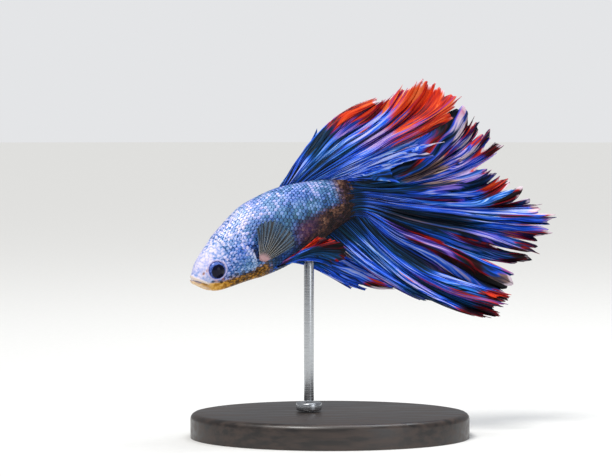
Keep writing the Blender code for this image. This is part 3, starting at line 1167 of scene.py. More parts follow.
    def surface(self, u: Array, v: Array) -> Array:
        """Points of the middle of the sheet, in mm.

        Args:
            u: shares across the fin.
            v: shares along its rays.

        Returns:
            The points.
        """
        at = u * (len(self.guides) - 1)
        row = through(self.curves, np.clip(at + self.drift(at, v), 0, len(self.guides) - 1))
        t = (v * self.reach(at))[:, None]
        s = 1 - t
        points = row[:, :3] * s**3 + row[:, 3:6] * (3 * s * s * t)
        points = points + row[:, 6:9] * (3 * s * t * t) + row[:, 9:] * t**3
        points[:, 1] += self.folding(at, v)[0]
        return points

    def build(self, material: Material) -> Object:
        """Makes the fin in place of its solid.

        Args:
            material: the fin's finish.

        Returns:
            The fin.
        """
        spaces = len(self.guides) - 1
        piece = SheetPiece(self.node + "_web", spaces * self.fine_rays * 4, self.rows)
        u, v = piece.u, piece.v
        at = u * spaces
        middle = self.surface(u, v)
        ridge = self.ray_ridges(at, v)
        facing = self.facing(u, v)
        thick = self.membrane + self.ray_height * ridge * (1.25 - 0.75 * v)
        thick *= 1 - 0.55 * smooth(0.94, 1.0, v)
        piece.attribute("across", at)
        piece.attribute("along", v)
        piece.attribute("ray", ridge)
        # The pleats' phase, which the fin colours use for painted light on crests and painted shade in
        # valleys.
        piece.attribute("fold", self.folding(at, v)[1])
        for tint in Tint:
            piece.attribute(tint.value, self.tinted(tint, at, v))
        obj = piece.place(middle + facing * (thick * piece.side)[:, None], material)
        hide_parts(self.node)
        return obj

    def tinted(self, tint: Tint, at: Array, along: Array) -> Array:
        """How strongly one tint shows at each point."""
        covers = [Mark(*row).cover(at, along) for row in self.marks.get(tint, ())]
        return np.maximum.reduce([0 * at, *covers])

    def facing(self, u: Array, v: Array) -> Array:
        """The way that the back of the sheet faces at each point.

        Args:
            u: shares across the fin.
            v: shares along its rays.

        Returns:
            One unit vector for each point.
        """
        step = 1e-3
        inner_u, inner_v = np.clip(u, step, 1 - step), np.clip(v, step, 1 - step)
        across = self.surface(inner_u + step, inner_v) - self.surface(inner_u - step, inner_v)
        along = self.surface(inner_u, inner_v + step) - self.surface(inner_u, inner_v - step)
        normal = np.cross(across, along)
        normal /= np.linalg.norm(normal, axis=1)[:, None] + 1e-12
        return normal * np.where(normal[:, 1] < 0, -1.0, 1.0)[:, None]


@dataclass
class TailRoot:
    """The bases of the tail fin's rays where they lie on one side of the stalk."""

    fin: Fin
    side: int
    start: float = 9.25
    top: float = 8.0
    spread: float = 150.0
    columns: int = 20
    rows: int = 18

    def build(self, material: Material) -> Object:
        """Makes a thin ribbed collar from the last scales to the fin.

        Args:
            material: the tail fin's finish.

        Returns:
            The collar.
        """
        spaces = len(self.fin.guides) - 1
        name = "tail_root_left" if self.side > 0 else "tail_root_right"
        piece = SheetPiece(name, spaces * self.columns, self.rows)
        u, v = piece.u, piece.v
        degrees = 90 - self.side * (self.top + self.spread * u)
        fringe = 0.16 * np.cos(u * 37) + 0.08 * np.cos(u * 91)
        on_scales = BODY.point(self.start + fringe, degrees, -0.1)
        over = BODY.point(0 * u + 9.8, degrees, 0.25)
        outward = BODY.point(0 * u + 9.6, degrees, 1.0) - BODY.point(0 * u + 9.6, degrees)
        lean = -self.side * self.fin.facing(u, 0 * u + 0.1)
        near = self.fin.surface(u, 0 * u + 0.05) + lean * 0.5
        home = self.fin.surface(u, 0 * u + 0.15) - lean * 0.05
        s = (1 - v)[:, None]
        t = v[:, None]
        middle = on_scales * s**3 + over * (3 * s * s * t) + near * (3 * s * t * t) + home * t**3
        ridge = self.fin.ray_ridges(u * spaces, 0 * v)
        thick = (0.03 + 0.1 * ridge) * piece.side
        away = outward * s + lean * t
        away /= np.linalg.norm(away, axis=1)[:, None]
        along = 0.15 * v
        for title, values in (("across", u * spaces), ("along", along), ("ray", ridge), ("fold", 0 * u)):
            piece.attribute(title, values)
        for tint in Tint:
            piece.attribute(tint.value, self.fin.tinted(tint, u * spaces, along))
        obj = piece.place(middle + away * thick[:, None], material)
        return obj


def stalk_roots(count: int) -> Array:
    """Root points of the tail fin round the end of the stalk, from its top to its foot.

    Args:
        count: how many root points.

    Returns:
        The points, in mm.
    """
    row, tailwards, _, back = (part[0] for part in BODY.axes(np.array([BODY.end])))
    a = np.radians(np.linspace(80, -66, count))[:, None]
    tall = np.where(a > 0, row[3], row[4]) - 0.4
    return row[:3] + back * np.sin(a) * tall - tailwards * (1.6 - 1.2 * np.cos(a))


def pelvic_roots(count: int, side: int) -> Array:
    """Root points of a pelvic fin beside the keel, with the upper ray's root furthest back."""
    at = 3.7 + 0.12 * np.arange(count)[::-1]
    return BODY.point(at, np.full(count, side * 20.0 - 90), -0.8)


def dorsal_fin() -> Fin:
    """The tall fin of the back, swept back, with a red and orange margin.

    Returns:
        The fin.
    """
    return Fin(
        node="dorsal_fin",
        roots=BODY.ridge((5.75, 8.75), 90, 11, 0.8),
        guides=(
            Ray(-2.6, 3.4, 61.9, 54, 66, 0.40),
            Ray(8.9, 5.0, 67.9, 62, 16),
            Ray(10.3, 4.0, 67.4, 50, 28, 0.05),
            Ray(14.3, 6.0, 70.4, 52, 64, 0.04),
            Ray(17.0, 4.4, 71.6, 44, 70),
            Ray(21.2, 6.4, 71.2, 36, 62),
            Ray(26.2, 4.6, 68.4, 28, 40, 0.04),
            Ray(25.4, 6.6, 64.9, 25, 32, 0.34),
            Ray(23.9, 5.0, 59.8, 18, 12, 0.26),
            Ray(21.6, 6.8, 56.1, 12, -4, 0.34),
            Ray(14.4, 5.6, 50.8, 4, -12),
        ),
        marks={
            Tint.DARK: (
                (0, 5, 7, 0.05, 5, 7, 0.4), (0.3, 1.5, 0.6, 0.58, 1.7, 0.6),
                (0.02, 4.2, 1.6, 0.26, 4.2, 1.4, 0.5), (0.3, 4.1, 0.35, 0.55, 4.1, 0.3, 0.5),
                (0.7, 2.15, 0.08, 0.95, 2.2, 0.08, 0.4), (0.66, 5.25, 0.08, 1, 5.3, 0.08, 0.4),
                (0.55, 7, 0.1, 1, 7.05, 0.1, 0.6), (0.1, 7.6, 0.5, 0.3, 7.6, 0.4, 0.5),
                (0.4, 9.6, 0.2, 1, 9.7, 0.3, 0.5),
            ),
            Tint.RED: (
                (0.58, 1.5, 0.45, 1, 1.4, 0.7), (0.8, 3.1, 0.35, 1, 3.1, 0.4, 0.85),
                (0.74, 2.4, 0.45, 1, 2.4, 0.45), (0.56, 3.05, 0.16, 0.68, 3.05, 0.16, 0.6),
                (0.84, 3.5, 0.3, 1, 3.55, 0.4, 0.8), (0.7, 4.2, 0.35, 1, 4.1, 0.4),
                (0.62, 5.2, 0.8, 0.8, 5.2, 0.9, 0.7), (0.76, 5.1, 0.9, 1, 5, 1.2),
                (0.5, 5.9, 0.25, 0.7, 5.9, 0.3, 0.5), (0.55, 6.5, 0.5, 0.8, 6.5, 0.6, 0.7),
                (0.74, 6.4, 0.7, 1, 6.5, 0.8),
            ),
            Tint.ORANGE: (
                (0.86, 4.9, 2.2, 1, 5.2, 2.4, 0.65), (0.9, 1.5, 0.5, 1, 1.5, 0.6, 0.4),
            ),
            Tint.PAINTED_SHEEN: (
                (0.5, 3.2, 0.3, 0.8, 3.15, 0.3), (0.75, 3.3, 0.06, 1, 3.35, 0.06, 0.9),
                (0.3, 3, 0.4, 0.55, 3.1, 0.35, 0.6), (0.46, 3.65, 0.35, 0.8, 3.6, 0.3, 0.9),
                (0.34, 5.75, 0.3, 0.5, 5.8, 0.2, 0.55), (0.6, 5.6, 0.06, 0.9, 5.5, 0.06, 0.9),
                (0.7, 4.65, 0.06, 0.95, 4.6, 0.06, 0.9), (0.55, 6.2, 0.05, 0.8, 6.3, 0.05, 0.9),
                (0.55, 6.75, 0.05, 0.85, 6.8, 0.05, 0.9), (0.08, 8.3, 1.4, 1, 8.3, 1.3, 0.75),
                (0.6, 7.6, 0.3, 1, 8, 0.2, 0.9), (0.6, 9, 0.2, 1, 9, 0.2, 0.6),
                (0.2, 6.4, 0.8, 0.5, 6.6, 0.7, 0.5),
            ),
            Tint.VIOLET: (
                (0.5, 4.4, 0.4, 0.72, 4.5, 0.35, 0.7), (0.42, 5.5, 1.5, 0.66, 5.5, 1.5, 0.8),
                (0.6, 6, 0.25, 0.85, 6.1, 0.25, 0.8), (0.55, 2.2, 0.5, 0.74, 2.2, 0.5, 0.6),
                (0.6, 4.6, 0.15, 0.9, 4.7, 0.15, 0.6),
            ),
            Tint.PALE: (
                (0.6, 0.97, 0.05, 1, 1, 0.06, 0.5), (0.975, 2.2, 1, 1, 2.2, 1, 0.8),
                (0.98, 5, 2, 1, 5, 2, 0.5), (0.9, 8, 0.12, 1, 8, 0.2, 0.6),
                (0.9, 9, 0.12, 1, 9, 0.2, 0.6),
            ),
        },
        rows=50,
        fine_rays=7,
        seed=11,
        pointed=True,
        pleats=1.2,
        pleat_depth=0.34,
        ragged=0.035,
    )


def caudal_fin() -> Fin:
    """The great tail fin, in deep folds with a torn-looking margin.

    Returns:
        The fin.
    """
    return Fin(
        node="caudal_fin",
        roots=stalk_roots(16),
        guides=(
            Ray(20.4, 13.0, 64.4, 60, 48),
            Ray(27.0, 11.0, 66.3, 0, 80, 0.03),
            Ray(30.5, 14.5, 64.0, -2, 62, 0.12),
            Ray(32.5, 11.5, 61.3, -3, 50, 0.08),
            Ray(35.6, 14.5, 58.4, -4, 34, 0.12),
            Ray(33.8, 12.0, 53.9, -4, 28, 0.08),
            Ray(36.8, 15.5, 52.4, -3, 45, 0.12),
            Ray(39.2, 12.0, 49.8, -6, 35, 0.09),
            Ray(44.2, 15.5, 46.0, -10, 4, 0.05),
            Ray(47.2, 12.5, 43.7, -13, 2, 0.05),
            Ray(45.4, 16.5, 40.2, -17, -4, 0.13),
            Ray(43.8, 13.0, 36.3, -21, -20, 0.22),
            Ray(41.4, 16.0, 35.0, -26, -10, 0.15),
            Ray(38.9, 12.5, 29.9, -34, -26, 0.06),
            Ray(36.8, 15.0, 26.4, -44, -22, 0.03),
            Ray(31.5, 11.5, 27.0, -84, -14),
        ),
        marks={
            Tint.DARK: (
                (0, 7.5, 9, 0.07, 7.5, 9, 0.7), (0.02, 2.9, 2.7, 0.3, 2.6, 2.2, 0.95),
                (0.28, 0.8, 0.6, 0.5, 0.9, 0.4, 0.7), (0.28, 4.7, 0.45, 0.52, 4.8, 0.35, 0.9),
                (0.28, 2.4, 1, 0.6, 2.4, 0.9, 0.4), (0.78, 3.35, 0.2, 0.95, 3.35, 0.2, 0.7),
                (0.04, 5.2, 0.8, 0.34, 5.2, 0.6, 0.9), (0.6, 1.3, 0.35, 0.86, 1.3, 0.3, 0.6),
                (0.8, 7.35, 0.5, 1, 7.4, 0.5, 0.4), (0.9, 11.5, 1.4, 1, 11.5, 1.5, 0.3),
                (0.28, 6, 0.5, 0.5, 6.1, 0.45, 0.4), (0.6, 5.75, 0.2, 0.9, 5.4, 0.2, 0.45),
                (0.78, 6.35, 0.14, 0.95, 6.3, 0.14, 0.5), (0.74, 7.65, 0.28, 1, 7.6, 0.25, 0.5),
                (0.68, 8.72, 0.1, 0.92, 8.7, 0.1, 0.6), (0.14, 9.7, 0.5, 0.64, 9.6, 0.45, 0.85),
                (0.12, 10.6, 0.8, 0.62, 10.5, 0.8, 0.8), (0.14, 11.4, 0.5, 0.62, 11.5, 0.45, 0.85),
                (0.7, 11.65, 0.3, 1, 11.65, 0.35, 0.5), (0.6, 12.85, 0.2, 0.86, 13.1, 0.2, 0.6),
                (0.34, 13.2, 0.16, 0.68, 13.35, 0.16, 0.5), (0.68, 13.2, 0.2, 1, 13.2, 0.25, 0.4),
                (0.24, 14.6, 0.5, 0.62, 14.5, 0.5, 0.65), (0.86, 14.6, 0.5, 1, 14.5, 0.6, 0.45),
                (0.6, 14.6, 0.7, 1, 14.5, 0.8),
            ),
            Tint.RED: (
                (0.84, 0, 0.8, 1, 0, 0.9, 0.9), (0.3, 1.05, 0.14, 0.92, 0.7, 0.2, 0.75),
                (0.86, 1.6, 0.5, 1, 1.6, 0.5, 0.8), (0.7, 3.05, 0.14, 0.84, 3.05, 0.14, 0.6),
                (0.88, 3.9, 0.35, 1, 3.8, 0.4, 0.9), (0.95, 4.8, 0.5, 1, 4.8, 0.5, 0.6),
                (0.84, 6, 0.42, 1, 6, 0.45), (0.4, 6.5, 0.16, 0.66, 6.45, 0.18, 0.5),
                (0.9, 11.2, 1.6, 1, 11.2, 1.7, 0.85), (0.82, 7.25, 0.42, 1, 7.25, 0.42),
                (0.76, 7.75, 0.22, 0.92, 7.75, 0.22, 0.8), (0.95, 8.5, 0.7, 1, 8.5, 0.9, 0.7),
                (0.72, 8.7, 0.12, 0.88, 8.7, 0.12, 0.7), (0.72, 11.6, 0.25, 1, 11.6, 0.3, 0.8),
                (0.2, 12, 0.2, 0.4, 12.3, 0.2, 0.4), (0.34, 12.35, 0.2, 0.64, 12.65, 0.24),
                (0.58, 12.8, 0.16, 0.82, 13.12, 0.16, 0.95), (0.32, 13.15, 0.15, 0.7, 13.35, 0.16, 0.8),
                (0.66, 13.25, 0.16, 1, 13.3, 0.2, 0.8), (0.9, 13.82, 0.2, 1, 13.85, 0.24),
                (0.62, 14.5, 0.6, 1, 14.5, 0.8, 0.85), (0.8, 10.2, 0.35, 1, 10.2, 0.4, 0.6),
                (0.88, 2.4, 1.2, 1, 2.4, 1.4, 0.7), (0.5, 2, 0.2, 0.8, 1.9, 0.2, 0.5),
            ),
            Tint.ORANGE: (
                (0.86, 0.1, 0.25, 1, 0.1, 0.3, 0.5), (0.88, 6, 0.16, 1, 6, 0.25, 0.7),
                (0.9, 7.1, 0.12, 1, 7.1, 0.2, 0.6), (0.36, 12.42, 0.09, 0.56, 12.5, 0.11, 0.9),
                (0.92, 13.82, 0.1, 1, 13.82, 0.2, 0.7),
            ),
            Tint.TAN: (
                (0.33, 2.5, 1, 0.66, 2.5, 1.1, 0.9), (0.8, 1.35, 0.2, 1, 1.3, 0.2, 0.4),
                (0.5, 4.75, 0.28, 0.8, 4.75, 0.28, 0.75), (0.15, 10.4, 1.2, 0.62, 10.2, 1.1, 0.45),
                (0.64, 10.3, 0.5, 0.9, 10.3, 0.5, 0.3), (0.9, 13.08, 0.12, 1, 13, 0.18, 0.8),
                (0.42, 14.6, 0.45, 0.64, 14.5, 0.45, 0.6),
            ),
            Tint.PAINTED_SHEEN: (
                (0.34, 3, 0.45, 0.6, 2.9, 0.4, 0.45), (0.3, 1.2, 0.1, 0.86, 0.75, 0.14, 0.5),
                (0.52, 2.55, 0.12, 0.8, 2.3, 0.12, 0.8), (0.74, 2.2, 0.5, 1, 2.25, 0.45),
                (0.56, 3.2, 0.5, 0.82, 3, 0.5, 0.85), (0.6, 3.6, 0.3, 0.86, 3.5, 0.3, 0.8),
                (0.5, 4, 0.16, 0.78, 4.3, 0.2, 0.9), (0.76, 4.85, 0.35, 1, 4.9, 0.32, 0.9),
                (0.7, 4.15, 0.35, 0.95, 4.2, 0.3, 0.9), (0.5, 5.4, 0.2, 0.78, 6.3, 0.25),
                (0.14, 6.3, 0.3, 0.34, 6.7, 0.3, 0.6), (0.88, 6.75, 0.14, 1, 6.75, 0.14, 0.8),
                (0.34, 7.6, 1.5, 0.8, 7.8, 1.2, 0.45), (0.45, 7.5, 0.2, 0.62, 7.5, 0.2, 0.6),
                (0.74, 8.35, 0.24, 0.97, 8.35, 0.24), (0.45, 8.55, 0.14, 0.75, 8.55, 0.14, 0.6),
                (0.68, 9.5, 0.4, 1, 9.5, 0.45, 0.35), (0.64, 10.5, 0.35, 0.92, 10.4, 0.35, 0.6),
                (0.66, 11.05, 0.12, 1, 11.1, 0.12, 0.7), (0.62, 12.05, 0.14, 0.95, 12.15, 0.16, 0.6),
                (0.66, 12.55, 0.3, 1, 12.5, 0.28, 0.6), (0.18, 12.1, 0.25, 0.36, 12.55, 0.2, 0.25),
                (0.1, 13.4, 0.3, 0.36, 13.55, 0.25, 0.25), (0.4, 13.75, 0.1, 0.7, 13.87, 0.12, 0.9),
                (0.62, 14.4, 0.5, 0.86, 14.4, 0.5, 0.5),
            ),
            Tint.VIOLET: (
                (0.55, 2.5, 1.6, 1, 2.4, 1.8, 0.5), (0.5, 4.8, 0.6, 1, 4.8, 0.7, 0.6),
                (0.36, 6.3, 0.4, 0.68, 6.4, 0.3, 0.8), (0.6, 11.2, 1, 1, 11.2, 1, 0.5),
                (0.2, 12.6, 0.5, 0.7, 13.2, 0.5, 0.7), (0.5, 14.5, 0.7, 0.8, 14.4, 0.8, 0.5),
            ),
            Tint.PALE: (
                (0.975, 7.5, 9, 1, 7.5, 9, 0.45), (0.92, 11.05, 0.12, 1, 11.05, 0.15, 0.5),
                (0.94, 8.4, 0.3, 1, 8.4, 0.3, 0.5), (0.8, 1.3, 0.3, 0.96, 1.3, 0.3, 0.65),
                (0.78, 2.2, 0.35, 0.94, 2.2, 0.3, 0.65), (0.72, 3, 0.3, 0.9, 3, 0.3, 0.65),
            ),
        },
        rows=58,
        seed=23,
        ragged=0.06,
        pleats=1.0,
        pleat_depth=0.5,
    )


def anal_fin() -> Fin:
    """The long fin under the tail, with straight ribs and dark wine-red tips.

    Returns:
        The fin.
    """
    return Fin(
        node="anal_fin",
        roots=BODY.ridge((7.3, 9.85), -90, 7, 0.8),
        guides=(
            Ray(18.2, 4.6, 27.2, -40, -24, 0.04),
            Ray(23.8, 3.2, 26.1, -42, -20, 0.04),
            Ray(28.6, 5.2, 24.1, -43, -16, 0.05),
            Ray(31.9, 3.6, 23.6, -44, -14, 0.05),
            Ray(34.5, 6.0, 23.9, -48, -14, 0.05),
            Ray(35.8, 4.2, 26.0, -55, -14, 0.06),
            Ray(37.0, 6.4, 28.1, -60, -14),
        ),
        marks={
            Tint.DARK: (
                (0, 3, 4, 0.14, 3, 4, 0.8), (0.5, 0.45, 0.08, 0.75, 0.3, 0.08, 0.6),
                (0.66, 1.5, 1, 1, 1.6, 1.3), (0.46, 2.45, 0.16, 0.9, 2.4, 0.2, 0.9),
                (0.52, 4.05, 0.38, 1, 3.9, 0.5, 0.95), (0.08, 5.7, 0.6, 0.58, 5.8, 0.45, 0.9),
                (0.58, 5.25, 0.1, 0.8, 5.35, 0.1, 0.7), (0.86, 2.8, 2, 1, 2.8, 2.2, 0.8),
                (0.2, 0.6, 0.12, 0.6, 0.45, 0.1, 0.4), (0.4, 0, 0.16, 1, 0, 0.2, 0.7),
            ),
            Tint.RED: (
                (0.86, 2.9, 1.9, 1, 2.9, 2.2, 0.8), (0.1, 0.3, 0.5, 0.18, 0.3, 0.5, 0.9),
                (0.66, 5, 0.14, 0.86, 5, 0.14, 0.8), (0.9, 5.6, 0.5, 1, 5.6, 0.6),
                (0.44, 3.3, 0.1, 0.55, 3.3, 0.1, 0.4), (0.5, 4.7, 0.2, 0.95, 4.7, 0.25, 0.4),
            ),
            Tint.ORANGE: (
                (0.97, 3.7, 0.4, 1, 3.7, 0.5, 0.8), (0.95, 5.7, 0.25, 1, 5.7, 0.3, 0.7),
            ),
            Tint.TAN: (
                (0.1, 0.2, 0.4, 0.3, 0.2, 0.3, 0.6), (0.9, 1.5, 0.8, 1, 1.5, 1, 0.4),
            ),
            Tint.PAINTED_SHEEN: (
                (0.2, 0.45, 0.16, 0.85, 0.4, 0.14, 0.7), (0.2, 1, 0.3, 0.42, 0.9, 0.3, 0.7),
                (0.24, 2, 0.3, 0.5, 2.1, 0.25, 0.4), (0.3, 2.8, 0.24, 0.86, 2.7, 0.22, 0.35),
                (0.2, 3.4, 0.25, 0.6, 3.3, 0.25, 0.4), (0.5, 4.65, 0.2, 0.95, 4.65, 0.22, 0.7),
                (0.54, 5.75, 0.25, 0.84, 5.8, 0.3, 0.8), (0.3, 4.9, 0.3, 0.7, 4.85, 0.25, 0.4),
                (0.94, 1.5, 0.7, 1, 1.5, 0.8, 0.25),
            ),
            Tint.VIOLET: (
                (0.3, 2.9, 0.4, 0.95, 2.8, 0.4, 0.2), (0.5, 3.5, 0.3, 0.66, 3.5, 0.3, 0.4),
                (0.5, 4.7, 0.4, 1, 4.7, 0.4, 0.55), (0.4, 0, 0.4, 1, 0, 0.5, 0.5),
            ),
        },
        rows=52,
        fine_rays=10,
        tufts=4,
        seed=31,
        ragged=0.03,
        pleats=1.6,
        pleat_depth=0.3,
    )


def pelvic_fin(side: int) -> Fin:
    """One of the two slim fins under the breast.

    Args:
        side: 1 for the left fin, -1 for the right one.

    Returns:
        The fin.
    """
    if side > 0:
        return Fin(
            node="pelvic_fin_left",
            roots=pelvic_roots(5, 1),
            guides=(
                Ray(-2.4, -3.2, 40.5, 32, 44),
                Ray(0.2, -2.2, 39.9, 28, 20),
                Ray(2.8, -2.8, 38.8, 25, -4),
                Ray(3.0, -1.6, 35.9, 21, -28, 0.10),
                Ray(0.2, -2.4, 34.3, 17, -34),
            ),
            marks={
                # The second row is painted shade beneath the curled red margin.
                Tint.DARK: (
                    (0, 2, 3, 0.14, 2, 3, 0.9), (0.6, 1.6, 0.5, 1, 2, 0.6, 0.8),
                    (0.4, 2.5, 0.8, 1, 2.8, 1.1),
                ),
                Tint.RED: (
                    (0.6, 0, 0.5, 1, 0.3, 1), (0.1, 0, 0.16, 0.6, 0, 0.2, 0.9),
                    (0.7, 1.4, 0.8, 1, 1.6, 0.8, 0.9), (0.18, 2.8, 1.4, 0.3, 2.8, 1.4, 0.5),
                    (0.93, 2.4, 0.7, 1, 3, 0.9, 0.7),
                ),
                Tint.ORANGE: (
                    (0.74, 0, 0.2, 1, 0, 0.5, 0.5),
                ),
                Tint.PAINTED_SHEEN: (
                    (0.25, 0.8, 0.5, 0.55, 0.9, 0.6, 0.5), (0.3, 2.8, 0.5, 0.5, 2.6, 0.5, 0.4),
                ),
            },
            rows=44,
            fine_rays=5,
            ragged=0.03,
            pleats=0.9,
            pleat_depth=0.3,
            bow=-1.8,
            seed=41,
        )
    return Fin(
        node="pelvic_fin_right",
        roots=pelvic_roots(5, -1),
        guides=(
            Ray(3.1, 7.4, 36.8, 31, -10),
            Ray(8.6, 8.6, 33.0, 31, -28),
            Ray(13.1, 9.4, 29.2, 30, -8, 0.12),
            Ray(7.8, 8.6, 28.9, 28, -18, 0.10),
            Ray(4.6, 7.8, 29.0, 26, -30),
        ),
        marks={
            # The second row is the left fin's shadow painted across this one; the first darkens the upper
            # part near the root.
            Tint.DARK: (
                (0.1, 0.2, 0.6, 0.6, 0.2, 0.6, 0.6), (0.3, 1.9, 0.8, 0.55, 1.6, 0.8, 0.8),
            ),
            Tint.RED: (
                (0.84, 1.9, 0.35, 0.96, 1.9, 0.35),
            ),
            Tint.PAINTED_SHEEN: (
                (0.55, 1.3, 0.5, 0.95, 1.3, 0.5, 0.8),
            ),
            Tint.PALE: (
                (0.9, 2.1, 0.3, 1, 2.1, 0.4, 0.8),
            ),
        },
        rows=44,
        fine_rays=6,
        ragged=0.04,
        pleats=1.1,
        pleat_depth=0.3,
        bow=2.2,
        seed=43,
    )


@dataclass
class Pectoral:
    """A smoky, see-through fan behind the gill cover, with pale rays."""

    word: str
    station: float = 3.5
    drop: float = -30.0
    length: float = 8.2
    stem: float = 0.9
    fan: tuple[float, float] = (113.0, 24.0)
    stand_off: float = 2.0
    rays: int = 13
    rows: int = 26
    membrane: float = 0.04
    ray_height: float = 0.07
    ray_width: float = 0.10
    fork: float = 0.11
    fold: float = 0.30
    scallop: float = 0.05

    def build(self, material: Material) -> Object:
        """Makes the fan in place of its solid.

        Args:
            material: the membrane's finish.

        Returns:
            The fan.
        """
        side = 1 if self.word == "left" else -1
        piece = SheetPiece(f"pectoral_fin_{self.word}_web", self.rays * 8, self.rows)
        u, v = piece.u, piece.v
        _, tailwards, left, back = (part[0] for part in BODY.axes(np.array([self.station])))
        out = left * side
        stem = BODY.one(self.station, self.drop if side > 0 else 180 - self.drop, -0.8)
        pitch = math.atan2(tailwards[2], math.hypot(tailwards[0], tailwards[1]))
        first, last = (math.radians(a) - pitch for a in self.fan)
        heading = first + (last - first) * u
        off = np.abs((u * self.rays + 0.5) % 1.0 - 0.5)
        split = np.abs(off - self.fork * smooth(0.35, 0.9, v))
        ridge = bump(0, self.ray_width, split)
        scallop = 1 - self.scallop * smooth(0.1, 0.5, off)
        along = self.length * (0.88 + 0.14 * np.sin(math.pi * u)) * scallop * v
        root = (back - tailwards)[None] * (self.stem * (0.5 - u) * (1 - v))[:, None]
        fold = self.fold * v * np.cos(u * 5 * math.pi)
        stand = self.stem + self.stand_off * np.sin(v * math.pi / 2) + fold
        thick = (self.membrane + self.ray_height * ridge * (1.1 - 0.7 * v)) * piece.side
        points = (
            stem + root + out * (stand + thick)[:, None]
            + tailwards * (np.cos(heading) * along)[:, None]
            + back * (np.sin(heading) * along)[:, None]
        )
        piece.attribute("ray", ridge)
        piece.attribute("along", v)
        piece.attribute("across", u * self.rays)
        obj = piece.place(points, material)
        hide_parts("pectoral_fin_" + self.word)
        return obj


